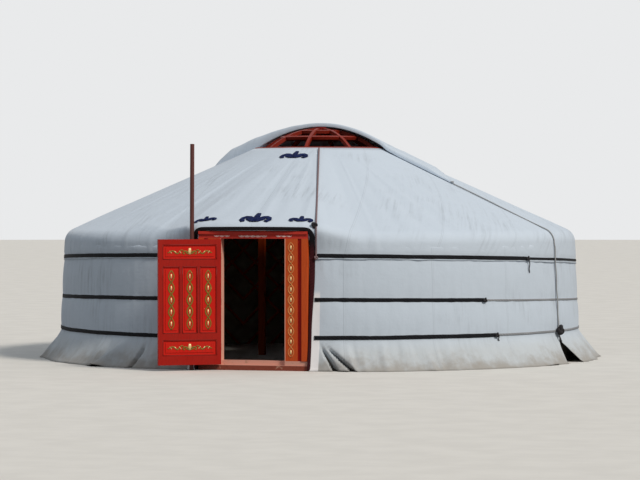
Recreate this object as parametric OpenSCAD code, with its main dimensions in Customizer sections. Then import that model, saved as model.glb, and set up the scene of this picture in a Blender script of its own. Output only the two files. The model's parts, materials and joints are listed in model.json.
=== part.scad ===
// A round felt tent of the steppe: lattice walls, a pitched roof of poles round a domed crown
// wheel, felt and canvas covers held by belts, and a painted wooden door that stands open.
// Lengths are in millimetres. +Z is up, the door faces -Y, and the origin is the centre of the
// floor circle at ground level.

/* [Wall] */
// Outer radius of the lattice, which is the inner radius of the wall felt
wall_r = 2800; // [2600:10:3000]
// Thickness of the wall felt
wall_felt_t = 40; // [30:1:50]
// Thickness of each canvas cover
canvas_t = 5; // [4:0.5:6]
// Height at which the outer line of the roof meets the outer line of the wall
eave_h = 1385; // [1350:1:1420]
// How far the foot of the wall cover stands out past its top
wall_lean = 50; // [30:1:70]

/* [Lattice] */
// Number of lattice sections round the wall
sections = 5; // [5]
// Pole heads along the top of one section
heads = 11; // [10:1:12]
// Rows of crossings from foot to head
rows = 9; // [8:1:10]
// Width of a lath
lath_w = 28; // [24:1:34]
// Thickness of a lath
lath_t = 14; // [12:1:16]
// Length of a lath below its lowest crossing, measured upright
lath_foot = 90; // [70:5:110]

/* [Roof] */
// Pitch of the roof
roof_pitch = 24; // [23:0.5:26]
// Thickness of the roof felt
roof_felt_t = 36; // [28:1:44]
// Radius of a roof pole
pole_r = 17; // [14:0.5:20]
// Radius at which the pole axes enter the crown
crown_seat_r = 715; // [680:5:760]
// Outer radius of the bend where the roof cover turns down over the wall
eave_bend = 150; // [120:5:170]
// How far the roof cover hangs below the upper belt
valance_drop = 12; // [6:1:40]

/* [Crown] */
// Inner radius of the crown rim
rim_inner_r = 655; // [620:5:680]
// Rise of the crown wheel above its seat in the rim
wheel_rise = 230; // [220:5:270]
// Width of a crown spoke
spoke_w = 34; // [28:1:42]
// Depth of a crown spoke
spoke_d = 40; // [34:1:48]
// Radii of the two rings between the spokes
ring_r = [230, 440]; // [190:5:500]
// Half the width of the eight-sided crown hub
hub_r = 75; // [60:5:95]
// Distance from the crown's centre to a corner of its folded cover
flap_reach = 1660; // [1500:10:1750]
// Thickness of the folded crown cover
flap_t = 22; // [16:1:30]
// Direction of the crown cover's right corner, counted from the door
flap_turn = 75.8; // [70:0.5:84]

/* [Door] */
// Clear width of the doorway
door_w = 680; // [640:5:720]
// Clear height of the doorway
door_h = 1255; // [1200:5:1270]
// Height of the sill
sill_h = 100; // [80:5:110]
// Width of a jamb
jamb_w = 240; // [200:5:250]
// Height of the lintel
lintel_h = 75; // [60:1:80]
// Depth of the door frame from front to back
frame_d = 120; // [110:5:130]
// Thickness of the leaf
leaf_t = 36; // [30:1:40]
// How far the leaf laps over the sill's front
leaf_lap = 40; // [20:5:45]
// Angle by which the leaf stands open
leaf_open = 148; // [145:1:160]
// Heights of the leaf's rails from its top down: top rail, two middle rails and bottom rail
rail_h = [63, 90, 85, 105]; // [50:1:120]
// Heights of the leaf's top and bottom panels
panel_h = [135, 143]; // [120:1:160]
// Width of the bound edge of the canvas beside the door
bind_w = 60; // [40:2:70]

/* [Belts, ropes and skirt] */
// Height of the belts' front, the upper, the middle and the lower one
belt_front = [1183, 732, 340]; // [320:1:1190]
// Height of the same belts at the back
belt_back = [1000, 590, 340]; // [320:1:1190]
// Height of a woven belt
belt_w = 42; // [34:1:50]
// Thickness of a woven belt
belt_t = 8; // [6:1:10]
// Radius of a rope
rope_r = 8; // [6:0.5:10]
// Reach of the skirt's hem from the centre
skirt_r = 3120; // [3080:5:3140]
// How much further the skirt is spread at the back
skirt_back = 100; // [80:2:120]
// How far the two cloths of the right skirt gape at the hem, the front one and the back one, in degrees
skirt_gape = [2.8, 4.2]; // [0:0.2:6]
// Radius of the long pole beside the door
prop_r = 22; // [18:1:26]
// Height of that pole's top end
prop_top = 2330; // [2250:10:2400]

/* [Hidden] */
$fn = 256;

// Colours
canvas_white = "#d9dbe0";
felt_grey = "#c9c3b6";
paint_orange = "#d2491f";
paint_red = "#b3241a";
raw_wood = "#a8743f";
belt_black = "#14161c";
rope_brown = "#4a2f33";
iron = "#4a4a4c";

// Wall radii, from the lattice outwards
lattice_in = wall_r - 2*lath_t;
lattice_mid = wall_r - lath_t;
felt_out = wall_r + wall_felt_t;
lay_gap = 1.2;
fit = 0.6;
wall_out = felt_out + 2*canvas_t + lay_gap;

// Roof layers, as depths below the roof's outer surface
felt_top = canvas_t + lay_gap;
felt_under = felt_top + roof_felt_t;
pole_gap = 2;
pole_depth = felt_under + pole_gap + pole_r;
crown_seat_z = eave_h + (wall_out - crown_seat_r)*tan(roof_pitch) - pole_depth/cos(roof_pitch);

// A point of the roof at a length down its slope and a depth below its surface, as [radius, height]
function roof_at(u, depth) = [
    crown_seat_r + u*cos(roof_pitch) + (pole_depth - depth)*sin(roof_pitch),
    crown_seat_z - u*sin(roof_pitch) + (pole_depth - depth)*cos(roof_pitch)
];
// Height of a roof layer at a radius
function roof_z(r, depth) = eave_h + (wall_out - r)*tan(roof_pitch) - depth/cos(roof_pitch);
function smooth(x) = let (c = min(max(x, 0), 1)) c*c*(3 - 2*c);
function arc(c, r, from, to, steps) = [
    for (i = [0:steps]) let (a = from + (to - from)*i/steps) c + r*[cos(a), sin(a)]
];
function flip(list) = [for (i = [len(list) - 1:-1:0]) list[i]];

// The bend at the eave
bend_start = 90 - roof_pitch;
bend_run = eave_bend*tan(bend_start/2);
bend_c = [wall_out - eave_bend, eave_h - bend_run];
bend_steps = 8;

// A turn that puts 0 degrees at the door and counts towards the right of someone facing it
module at(t) { rotate([0, 0, t - 90]) children(); }
module sector(t0, t1) { at(t0) rotate_extrude(angle = t1 - t0) children(); }

// A point given as radius, height, turn and an offset along the turn
function placed(p, t, aside) = [
    p[0]*sin(t) + aside*cos(t), -p[0]*cos(t) + aside*sin(t), p[1]
];
// A closed skin over m rings of n points each. Each four-sided face folds from its corner nearest
// the centre, so layers that lie on each other fold alike.
module swept(points, n, m, thin = true) {
    out = [for (p = points) norm([p[0], p[1]])];
    sides = [
        for (j = [0:m - 2], i = [0:n - 1]) let (a = j*n + i, b = j*n + (i + 1)%n)
            each out[a] < out[b]
                ? [[a, b, b + n], [a, b + n, a + n]]
                : [[a, b, a + n], [b, b + n, a + n]]
    ];
    // a thin ring is two rows of points back to back, so its end is closed between the rows
    end = thin
        ? [for (i = [0:n/2 - 2]) each [[i, i + 1, n - 2 - i], [i, n - 2 - i, n - 1 - i]]]
        : [[for (i = [0:n - 1]) i]];
    ends = [for (f = end) each [flip(f), [for (i = f) (m - 1)*n + i]]];
    polyhedron(points, concat(sides, ends), convexity = 6);
}

// Door frame places
frame_w = door_w + 2*jamb_w;
frame_h = sill_h + door_h + lintel_h;
frame_front = -(wall_out + 10);
frame_back = frame_front + frame_d;
door_side = asin((frame_w/2 + 4)/lattice_in);

// The space of the door frame, which the walls stop at
module doorway_cut(top, beside = 0) {
    half = frame_w/2 + beside;
    translate([-half, -2*wall_r, -1]) cube([2*half, 1.3*wall_r, top + 1]);
}

// Lattice: one lath is a slanted slab of a thin ring, so it bends with the wall
head_pitch = (360 - 2*door_side)/(sections*heads);
pole_seat_z = roof_z(lattice_mid, pole_depth);
head_gap = 3;
top_cross = pole_seat_z - pole_r/cos(roof_pitch)*sqrt(2) - lath_w/sqrt(2)
    - lath_t*tan(roof_pitch) - head_gap;
row_step = (top_cross - lath_foot)/(rows - 1);
half_pitch_run = lattice_mid*PI*head_pitch/360;
lath_angle = atan(row_step/half_pitch_run);
lattice_top = roof_z(wall_r, felt_under) - 12;
lath_bite = 3;
lath_step = 4.5;

// A lath is swept round the wall between slanting cuts, each a pair of [angle, height] points on
// its two edges. It is cut level at foot and head, and upright where its section ends.
function lath_cuts(turn, lean, t0, t1) = let (
    rise = row_step/(head_pitch/2)*lean,
    z_of = function(t) top_cross - (t - turn)*rise,
    t_of = function(z) turn + (top_cross - z)/rise,
    half_t = lath_w/2/sin(lath_angle)/lattice_mid*180/PI,
    half_z = lath_w/2/cos(lath_angle),
    upper = t_of(lattice_top),
    lower = t_of(0),
    first = max(min(upper, lower), t0),
    last = min(max(upper, lower), t1),
    steps = max(1, round((last - first)/lath_step)),
    cut_at = function(t) let (z = z_of(t)) t == t0 || t == t1
        ? [[t, z + half_z], [t, z - half_z]]
        : [[t + half_t*lean, z], [t - half_t*lean, z]]
) last - first < 4*half_t ? [] : [for (i = [0:steps]) cut_at(first + (last - first)*i/steps)];
module lath(cuts, r0, r1) {
    m = len(cuts);
    points = [
        for (c = cuts) each [
            placed([r1, c[0][1]], c[0][0], 0), placed([r0, c[0][1]], c[0][0], 0),
            placed([r0, c[1][1]], c[1][0], 0), placed([r1, c[1][1]], c[1][0], 0)
        ]
    ];
    if (m > 1) swept(points, 4, m);
}
module lath_layer(t0, t1, lean, r0, r1) {
    reach = ceil(rows/2) + 1;
    first = round((t0 - door_side)/head_pitch) - (lean > 0 ? 1 : reach);
    last = round((t1 - door_side)/head_pitch) + (lean > 0 ? reach : 1);
    for (i = [first:last])
        lath(lath_cuts(door_side + (i + 0.5)*head_pitch, lean, t0, t1), r0, r1);
}
module lattice(k) {
    t0 = door_side + (k - 1)*heads*head_pitch;
    t1 = t0 + heads*head_pitch;
    color(paint_orange) union() {
        lath_layer(t0, t1, 1, lattice_mid - lath_bite/2, wall_r);
        lath_layer(t0, t1, -1, lattice_in, lattice_mid + lath_bite/2);
    }
}

// Roof poles
pole_end_gap = 3;
pole_foot_r = wall_r - pole_end_gap - pole_r*sin(roof_pitch);
socket_d = 25;
door_poles = 5;
door_pole_pitch = (2*door_side + head_pitch)/(door_poles + 1);
door_pole_r = -frame_front - frame_d/2;
lintel_top = frame_h + pole_end_gap;
function door_pole_turn(i) = -door_side - head_pitch/2 + i*door_pole_pitch;
// The pitch of a door pole, which rests on the lintel
function door_pole_fall(t) = let (
    foot_r = door_pole_r/cos(t),
    fall = atan((crown_seat_z - lintel_top - pole_r)/(foot_r - crown_seat_r))
) atan((crown_seat_z - lintel_top - pole_r/cos(fall))/(foot_r - crown_seat_r));

module seated(t, fall) {
    at(t) translate([crown_seat_r, 0, crown_seat_z]) rotate([0, 90 + fall, 0])
        translate([0, 0, -socket_d]) children();
}
module roof_poles(first, last) {
    length = (pole_foot_r - crown_seat_r)/cos(roof_pitch);
    color(paint_orange) for (i = [first:last]) seated(door_side + (i + 0.5)*head_pitch, roof_pitch)
        cylinder(r = pole_r, h = length + socket_d);
}
module roof_poles_door() {
    color(paint_orange) for (i = [1:door_poles]) {
        t = door_pole_turn(i);
        fall = door_pole_fall(t);
        seated(t, fall)
            cylinder(r = pole_r, h = (door_pole_r/cos(t) - crown_seat_r)/cos(fall) + socket_d);
    }
}

// Crown rim, with a blind socket for each pole and a mortise for each spoke
rim_bottom = crown_seat_z - 45*cos(roof_pitch);
rim_top = crown_seat_z + 69;
rim_profile = [
    [rim_inner_r, rim_bottom],
    roof_at(0, pole_depth + 45),
    roof_at(0, -2),
    [crown_seat_r + 8, rim_top],
    [rim_inner_r, rim_top]
];
module crown_rim() {
    color(paint_red) difference() {
        rotate_extrude() polygon(rim_profile);
        for (i = [0:sections*heads - 1]) seated(door_side + (i + 0.5)*head_pitch, roof_pitch)
            translate([0, 0, -fit]) cylinder(r = pole_r + fit, h = 3*socket_d);
        for (i = [1:door_poles]) seated(door_pole_turn(i), door_pole_fall(door_pole_turn(i)))
            translate([0, 0, -fit]) cylinder(r = pole_r + fit, h = 3*socket_d);
        for (i = [0:7]) rotate([0, 0, 45*i])
            translate([rim_inner_r - tenon_d, -spoke_w/2 - fit, wheel_edge_z - tenon_h - fit])
                cube([2*tenon_d + fit, spoke_w + 2*fit, tenon_h + 2*fit]);
    }
}

// Crown wheel: bowed spokes tenoned into the rim, two rings of curved pieces between the spokes,
// and an eight-sided hub
tenon_d = 22;
tenon_h = 26;
wheel_edge_z = rim_top - 10;
wheel_r = (pow(rim_inner_r, 2) + pow(wheel_rise, 2))/(2*wheel_rise);
wheel_c = wheel_edge_z + wheel_rise - wheel_r;
hub_h = 74;
hub_top = wheel_edge_z + wheel_rise + 8;
function wheel_z(r) = wheel_c + sqrt(pow(wheel_r, 2) - pow(r, 2));
module crown_hub() {
    color(paint_red) translate([0, 0, hub_top - hub_h]) union() {
        rotate([0, 0, 22.5]) cylinder(r = hub_r/cos(22.5), h = hub_h, $fn = 8);
        translate([0, 0, -18]) cylinder(r = hub_r*0.6, h = 19);
    }
}
module crown_spokes() {
    half = asin(rim_inner_r/wheel_r) + 1;
    color(paint_orange) for (i = [0:7]) rotate([0, 0, 45*i]) union() {
        intersection() {
            translate([0, 0, wheel_c]) rotate([90, 0, 0]) rotate([0, 0, 90 - half])
                rotate_extrude(angle = half)
                    translate([wheel_r - spoke_d, -spoke_w/2]) square([spoke_d, spoke_w]);
            translate([hub_r, -spoke_w, rim_bottom])
                cube([rim_inner_r - fit - hub_r, 2*spoke_w, 2*wheel_rise]);
        }
        translate([rim_inner_r - 8, -spoke_w/2, wheel_edge_z - tenon_h])
            cube([tenon_d + 8 - fit, spoke_w, tenon_h]);
    }
}
module wheel_ring(r) {
    tilt = asin(r/wheel_r);
    difference() {
        rotate_extrude() translate([r, wheel_z(r)]) rotate(-tilt)
            translate([-spoke_w/2, -spoke_d + 3]) square([spoke_w, spoke_d - 6]);
        for (i = [0:3]) rotate([0, 0, 45*i])
            translate([-rim_inner_r, -spoke_w/2 - fit/2, rim_bottom])
                cube([2*rim_inner_r, spoke_w + fit, 2*wheel_rise]);
    }
}
module crown_rings() {
    color(paint_orange) for (r = ring_r) wheel_ring(r);
}

// The two posts that carry the rim, each with a curved head
post_w = 70;
post_x = (rim_inner_r + crown_seat_r - 45*sin(roof_pitch))/2;
head_half = 180;
head_d = 110;
module crown_post(side) {
    color(paint_orange) translate([side*post_x, 0, 0]) union() {
        translate([-post_w/2, -post_w/2, 0]) cube([post_w, post_w, rim_bottom - 1]);
        translate([-25, 0, 0]) rotate([90, 0, 90]) linear_extrude(50) polygon([
            [-head_half, rim_bottom], [-head_half, rim_bottom - 35],
            [-post_w/2 - 10, rim_bottom - head_d], [post_w/2 + 10, rim_bottom - head_d],
            [head_half, rim_bottom - 35], [head_half, rim_bottom]
        ]);
    }
}

// Felts
felt_steps = 5;
felt_end_angle = bend_start*(1 - felt_steps/bend_steps);
felt_bend = eave_bend - canvas_t - lay_gap;
felt_corner = bend_c + felt_bend*[cos(felt_end_angle), sin(felt_end_angle)];
felt_wall_angle = acos((felt_out - bend_c[0])/felt_bend);
felt_edge = bend_c + felt_bend*[cos(felt_wall_angle), sin(felt_wall_angle)];
wall_felt_top = felt_under + lay_gap;
wall_felt_profile = [
    [wall_r, 0], [felt_out, 0], [felt_out, felt_edge[1] - lay_gap],
    [felt_corner[0] - 3*lay_gap, roof_z(felt_corner[0] - 3*lay_gap, wall_felt_top)],
    [wall_r, roof_z(wall_r, wall_felt_top)]
];
roof_felt_profile = concat(
    [roof_at(lay_gap, felt_under), roof_at(lay_gap, felt_top)],
    arc(bend_c, felt_bend, bend_start, felt_end_angle, felt_steps),
    [[felt_corner[0], roof_z(felt_corner[0], felt_under)]]
);
module wall_felt(t0, t1) {
    color(felt_grey) difference() {
        sector(t0, t1) polygon(wall_felt_profile);
        doorway_cut(frame_h + 100);
    }
}
module roof_felt(t0, t1) {
    color(felt_grey) sector(t0, t1) polygon(roof_felt_profile);
}

// The roof is lifted over the door: by how much, at an angle from the door and a radius
hood_half = 24;
hood_flat = 11;
hood_out = 64;
hood_r = -frame_front - frame_d/2;
hood_room = 2*pole_r/cos(roof_pitch) + 2*pole_end_gap;
hood_lift = (frame_h + hood_room - roof_z(hood_r, felt_under))
    *(wall_out - crown_seat_r)/(hood_r - crown_seat_r);
hood_step = 2;
side_gap = 0.02;
belt_top = max(belt_front[0], belt_back[0]) + belt_w/2 + 6;
function hood_share(t) = smooth((hood_half - abs(t))/(hood_half - hood_flat));
function lifted(point, t) = let (
    along = (point[0] - crown_seat_r)/(wall_out - crown_seat_r),
    held = smooth((point[1] - belt_top)/(eave_h - 40 - belt_top)),
    out = smooth((point[0] - wall_out)/(3*hood_out) + 1)
) point + hood_share(t)*held*[out*hood_out, hood_lift*min(max(along, 0), 1)];

// Sheets that follow the wall: closed profiles in [radius, height], one at each turn
function turned_area(p) = let (n = len(p)) [
    for (i = [0:n - 1]) p[i][0]*p[(i + 1)%n][1] - p[(i + 1)%n][0]*p[i][1]
]*[for (i = [0:n - 1]) 1];
function ccw(p) = turned_area(p) > 0 ? p : flip(p);
module round_sheet(turns, profiles, thin = true) {
    n = len(profiles[0]);
    m = len(turns);
    swept([for (j = [0:m - 1], q = profiles[j]) placed(q, turns[j], 0)], n, m, thin);
}
module lifted_sheet(profile_at, half, thin = true) {
    steps = ceil(2*half/hood_step);
    turns = [for (j = [0:steps]) -half + 2*half*j/steps];
    round_sheet(turns, [for (t = turns) [for (p = ccw(profile_at(t))) lifted(p, t)]], thin);
}
module roof_felt_door() {
    color(felt_grey) lifted_sheet(function(t) roof_felt_profile, hood_half - side_gap, false);
}

// Canvas covers
skirt_top = belt_front[2] - belt_w/2 - 3;
function cover_r(z) =
    felt_out + canvas_t + wall_lean*(bend_c[1] - z)/(bend_c[1] - belt_front[2]);
module wall_cover(t0, t1) {
    color(canvas_white) difference() {
        sector(t0, t1) polygon([
            [cover_r(skirt_top) - canvas_t, skirt_top], [cover_r(skirt_top), skirt_top],
            [cover_r(bend_c[1]), bend_c[1]], [cover_r(bend_c[1]) - canvas_t, bend_c[1]]
        ]);
        doorway_cut(frame_h + 100);
    }
}
// The level of a belt is a plane that falls from the door to the back
module belt_level(i) {
    fall = atan((belt_front[i] - belt_back[i])/(2*wall_out));
    translate([0, 0, (belt_front[i] + belt_back[i])/2]) rotate([-fall, 0, 0]) children();
}
valance_low = min(belt_back[0], belt_front[0]) - belt_w - valance_drop;
function valance_r(z) = cover_r(z) + lay_gap + canvas_t;
function roof_cover_profile(low) = concat(
    [roof_at(lay_gap, 0)],
    arc(bend_c, eave_bend, bend_start, 0, bend_steps),
    [for (z = [belt_top, low]) [valance_r(z), z]],
    [for (z = [low, belt_top]) [valance_r(z) - canvas_t, z]],
    arc(bend_c, eave_bend - canvas_t, 0, bend_start, bend_steps),
    [roof_at(lay_gap, canvas_t)]
);
// Height of the valance's edge at a turn, level with the upper belt
function valance_edge(t) = (belt_front[0] + belt_back[0])/2
    + (belt_front[0] - belt_back[0])/2*cos(t) - belt_w/2 - valance_drop;
module below_valance() {
    belt_level(0) translate([-2*wall_r, -2*wall_r, -wall_r - belt_w/2 - valance_drop])
        cube([4*wall_r, 4*wall_r, wall_r]);
}
module roof_cover_main() {
    color(canvas_white) difference() {
        sector(hood_half + side_gap, 360 - hood_half - side_gap)
            polygon(roof_cover_profile(valance_low));
        below_valance();
    }
}
module roof_cover_door() {
    color(canvas_white) difference() {
        lifted_sheet(function(t) roof_cover_profile(valance_edge(t)), hood_half - side_gap);
        doorway_cut(frame_h + hem_gap);
    }
}

// Black binding of the canvas edge over the lintel and down both sides of the door
hem_gap = 6;
hem_t = 6;
hem_turn = 14;
hem_low = asin((frame_h + 2*hem_gap - hood_lift - bend_c[1])/eave_bend);
module hem_over_door() {
    profile = concat(
        arc(bend_c, eave_bend + 2*lay_gap, hem_low, hem_low + hem_turn, 2),
        arc(bend_c, eave_bend + 2*lay_gap + hem_t, hem_low + hem_turn, hem_low, 2)
    );
    color(belt_black) lifted_sheet(function(t) profile, asin((frame_w/2 + bind_w)/wall_out));
}
bind_gap = 3;
function beside_door(p, x) = [x, -sqrt(pow(p[0], 2) - pow(x, 2)), p[1]];
function bind_face(x, off) = let (
    t = asin(x/wall_out),
    foot = skirt_curve(asin(x/cover_r(0))),
    step_z = valance_edge(t) - 4
) [for (p = concat(
    [for (q = flip(foot)) q + [fit + off, 0]],
    [for (z = [skirt_top + 1, step_z - 8]) [cover_r(z) + fit + off, z]],
    [for (z = [step_z, belt_top]) [valance_r(z) + lay_gap + off, z]],
    arc(bend_c, eave_bend + 2*lay_gap + off, 0, hem_low - 2, 2)
)) beside_door(p[1] > belt_top ? lifted(p, t) : p, x)];
module hem_beside_door() {
    half = frame_w/2;
    color(belt_black) for (side = [0, 1]) mirror([side, 0, 0]) {
        faces = [for (x = [half + bind_gap, half + bind_w])
            concat(bind_face(x, 0), flip(bind_face(x, hem_t - 1)))];
        swept(concat(flip(faces[0]), flip(faces[1])), len(faces[0]), 2);
    }
}

// Skirt of the wall cover, spread on the ground
skirt_t = 8;
skirt_step = 6;
skirt_side = asin((frame_w/2 + 3)/cover_r(skirt_top));
function from_door(t) = abs(t > 180 ? t - 360 : t);
skirt_plain = asin((frame_w/2 + bind_w + 3)/cover_r(skirt_top));
function skirt_reach(t) = let (wide = smooth((from_door(t) - skirt_plain)/14))
    cover_r(skirt_top) + 60 + wide*(skirt_r - cover_r(skirt_top) - 60
        - 14 + 9*sin(7*t) + 5*sin(19*t)) + skirt_back*smooth((from_door(t) - 110)/60);
function skirt_curve(t) = let (reach = skirt_reach(t), top_r = cover_r(skirt_top)) [
    for (i = [0:2]) let (f = i/2) [top_r + (reach - top_r)*pow(f, 1.5), skirt_top*(1 - f)]
];
function skirt_profile(t) = let (curve = skirt_curve(t))
    ccw(concat(curve, [for (i = [2:-1:0]) [curve[i][0] - skirt_t, curve[i][1]]]));
// An end that gapes is drawn back at the hem, and starts from the belt
function gaped(q, t, gape) = placed(q, t + gape*(1 - q[1]/skirt_top), 0);
module skirt(t0, t1, gape0 = 0, gape1 = 0) {
    first = max(t0, skirt_plain);
    last = min(t1, 360 - skirt_plain);
    steps = ceil((last - first)/skirt_step);
    turns = concat(
        t0 < first ? [t0] : [],
        [for (j = [0:steps]) first + (last - first)*j/steps],
        t1 > last ? [t1] : []
    );
    last_ring = len(turns) - 1;
    color(canvas_white) swept([
        for (j = [0:last_ring], q = skirt_profile(turns[j]))
            gaped(q, turns[j], j == 0 ? gape0 : j == last_ring ? -gape1 : 0)
    ], 6, last_ring + 1);
}

// Cover of the crown, folded back over its rear half
flap_slope = 0.49;
flap_lift = 4;
flap_apex = hub_top + flap_lift;
flap_low = roof_z(flap_reach, 0) + flap_lift;
flap_bend = 2*(flap_reach - (flap_apex - flap_low)/flap_slope);
function flap_z(r) = r < flap_bend
    ? flap_apex - flap_slope*pow(r, 2)/(2*flap_bend)
    : flap_low + flap_slope*(flap_reach - r);
flap_radii = [for (i = [0:8]) flap_bend*i/8];
// The cloth is bunched along the left part of its fold: half its height at distances from the centre
flap_bunch = [[90, 6], [250, 10], [460, 25], [650, 50], [840, 66], [1030, 78], [1220, 74], [1340, 54], [1450, 8]];
bunch_step = 85;
bunch_sides = 10;
bunch_gap = 2;
module bunched_fold() {
    radii = [for (r = [flap_bunch[0][0]:bunch_step:flap_bunch[8][0]]) r];
    points = [for (r = radii, k = [0:bunch_sides - 1]) let (
        a = 360*(k + 0.5)/bunch_sides,
        half = lookup(r, flap_bunch)
    ) placed(
        [r, flap_z(norm([r, half])) + flap_t + bunch_gap + half*(1 + sin(a))],
        flap_turn + 180, -1.2*half*(1 + cos(a))
    )];
    color(canvas_white) swept(points, bunch_sides, len(radii));
}
module crown_flap() {
    under = [for (r = concat(flap_radii, [flap_reach])) [r, flap_z(r)]];
    bunched_fold();
    color(canvas_white) intersection() {
        sector(flap_turn, flap_turn + 180)
            polygon(concat(under, flip([for (p = under) p + [0, flap_t]])));
        at(flap_turn) linear_extrude(2*flap_apex) polygon([
            [flap_reach - 6, 0], [-flap_reach + 6, 0], [0, flap_reach - 6]
        ]);
    }
}

// Belts
module belt_shell(inner) {
    low = 0;
    high = bend_c[1];
    rotate_extrude() polygon([
        [cover_r(low) + inner + fit, low], [cover_r(low) + inner + belt_t, low],
        [cover_r(high) + inner + belt_t, high], [cover_r(high) + inner + fit, high]
    ]);
}
module belt(i, inner) {
    color(belt_black) difference() {
        intersection() {
            belt_shell(inner);
            belt_level(i) translate([0, 0, -belt_w/2]) cylinder(r = 2*wall_r, h = belt_w);
        }
        doorway_cut(frame_h, bind_w + 1);
    }
}

// Ropes: a tube swept along a path of [radius, height] points in the upright plane at one turn
rope_sides = 8;
function unit(v) = v/norm(v);
function rope_normal(path, i) = let (
    a = i > 0 ? unit(path[i] - path[i - 1]) : unit(path[1] - path[0]),
    b = i < len(path) - 1 ? unit(path[i + 1] - path[i]) : a,
    mid = unit(a + b)
) [-mid[1], mid[0]]/(mid*a);
module rope(path, t) {
    n = rope_sides;
    m = len(path);
    points = [
        for (i = [0:m - 1], k = [0:n - 1]) let (a = 360*(k + 0.5)/n)
            placed(path[i] + rope_r*cos(a)*rope_normal(path, i), t, rope_r*sin(a))
    ];
    color(rope_brown) swept(points, n, m);
}
rope_off = rope_r + 1;
rope_wall_off = lay_gap + canvas_t + belt_t + rope_off;
function over_eave(start) = concat(
    [start],
    arc(bend_c, eave_bend + rope_off, bend_start, 8, 5),
    [for (z = [belt_top + 30, belt_top]) [cover_r(z) + rope_wall_off, z]]
);
module flap_rope(t) {
    tie_z = belt_front[2] + belt_w/2 + 10;
    top_r = flap_reach + 2;
    rope(concat(
        over_eave([top_r, roof_z(top_r, 0) + rope_off/cos(roof_pitch)]),
        [[cover_r(tie_z) + rope_wall_off, tie_z]]
    ), t);
}
pull_turn = 13.2;
module flap_pull_rope() {
    rope(concat(
        [lifted(roof_at(60, -rope_off - 3), pull_turn)],
        [for (p = arc(bend_c, eave_bend + rope_off + 3, bend_start, 0, 6)) lifted(p, pull_turn)],
        [for (z = [belt_top, belt_top - belt_w]) [cover_r(z) + rope_wall_off + 4, z]]
    ), pull_turn);
}

// Long pole that stands by the door
module bar(a, b, r) {
    d = b - a;
    translate(a) rotate([0, acos(d[2]/norm(d)), atan2(d[1], d[0])]) cylinder(r = r, h = norm(d));
}
prop_foot = [-622, -2975, 0];
prop_head = [-664, -2800, prop_top];
module flap_pole() {
    color(paint_orange) intersection() {
        bar(prop_foot - (prop_head - prop_foot)*0.02, prop_head, prop_r);
        translate([-wall_r, -2*wall_r, 0]) cube([2*wall_r, 2*wall_r, 2*prop_top]);
    }
}

// Door frame. Each jamb has a wide strip by the opening, a groove and a raised strip outside it.
strip_w = 60;
groove_w = 42;
groove_d = 12;
bead_w = 14;
bead_d = 10;
module door_block(x0, x1, z0, z1) {
    translate([x0, frame_front, z0]) cube([x1 - x0, frame_d, z1 - z0]);
}
module door_sill() {
    rebate_z = leaf_low - leaf_gap;
    color(paint_red) difference() {
        union() {
            door_block(-frame_w/2, frame_w/2, 0, sill_h);
            translate([-frame_w/2, frame_front - bead_d, 0]) cube([frame_w, bead_d + 1, rebate_z]);
        }
        translate([-door_w/2, frame_front - 1, rebate_z])
            cube([door_w, leaf_t + leaf_gap + 1, sill_h]);
    }
}
module door_lintel() {
    low = frame_h - lintel_h;
    color(paint_red) difference() {
        union() {
            door_block(-frame_w/2, frame_w/2, low, frame_h);
            translate([-frame_w/2, frame_front - bead_d, frame_h - 2*bead_w])
                cube([frame_w, bead_d + 1, 2*bead_w]);
        }
        translate([-frame_w/2 - 1, frame_front - 1, low + bead_w])
            cube([frame_w + 2, groove_d/2 + 1, lintel_h - 4*bead_w]);
    }
}
module door_jamb(side) {
    outer = frame_w/2;
    color(paint_orange) mirror([side < 0 ? 1 : 0, 0, 0]) difference() {
        union() {
            door_block(door_w/2, outer, sill_h, sill_h + door_h);
            translate([outer - strip_w, frame_front - bead_d, sill_h])
                cube([strip_w, bead_d + 1, door_h]);
        }
        translate([outer - strip_w - groove_w, frame_front - 1, sill_h - 1])
            cube([groove_w, groove_d + 1, door_h + 2]);
    }
}

// Leaf, drawn shut and then turned open about its hinge axis
hinge_r = 8;
hinge_axis = [-door_w/2, frame_front - hinge_r - 1];
leaf_gap = 6;
leaf_low = sill_h - leaf_lap;
leaf_high = sill_h + door_h - leaf_gap;
stile_w = 55;
module hung() {
    translate([hinge_axis[0], hinge_axis[1], 0]) rotate([0, 0, -leaf_open])
        translate([-hinge_axis[0], -hinge_axis[1], 0]) children();
}
module leaf_block(x0, x1, y0, y1, z0, z1) {
    translate([-door_w/2 + x0, frame_front + y0, z0]) cube([x1 - x0, y1 - y0, z1 - z0]);
}
leaf_right = door_w - leaf_gap;
leaf_inner = leaf_right - leaf_gap - 2*stile_w;
muntin_w = 40;
// Bottom heights of the leaf's rails, from the top rail down
function rail_low(i) = [
    leaf_high - rail_h[0],
    leaf_high - rail_h[0] - panel_h[0] - rail_h[1],
    leaf_low + rail_h[3] + panel_h[1],
    leaf_low
][i];
function rail_high(i) = rail_low(i) + rail_h[i];
panel_inset = 10;
module leaf_frame() {
    color(paint_red) hung() union() {
        leaf_block(leaf_gap, leaf_gap + stile_w, 0, leaf_t, leaf_low, leaf_high);
        leaf_block(leaf_right - stile_w, leaf_right, 0, leaf_t, leaf_low, leaf_high);
        for (i = [0:3])
            leaf_block(leaf_gap + stile_w - 1, leaf_right - stile_w + 1, 0, leaf_t,
                rail_low(i), rail_high(i));
        for (i = [1:2]) let (x = leaf_gap + stile_w + leaf_inner*i/3)
            leaf_block(x - muntin_w/2, x + muntin_w/2, 0, leaf_t, rail_high(2) - 1, rail_low(1) + 1);
    }
}
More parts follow.
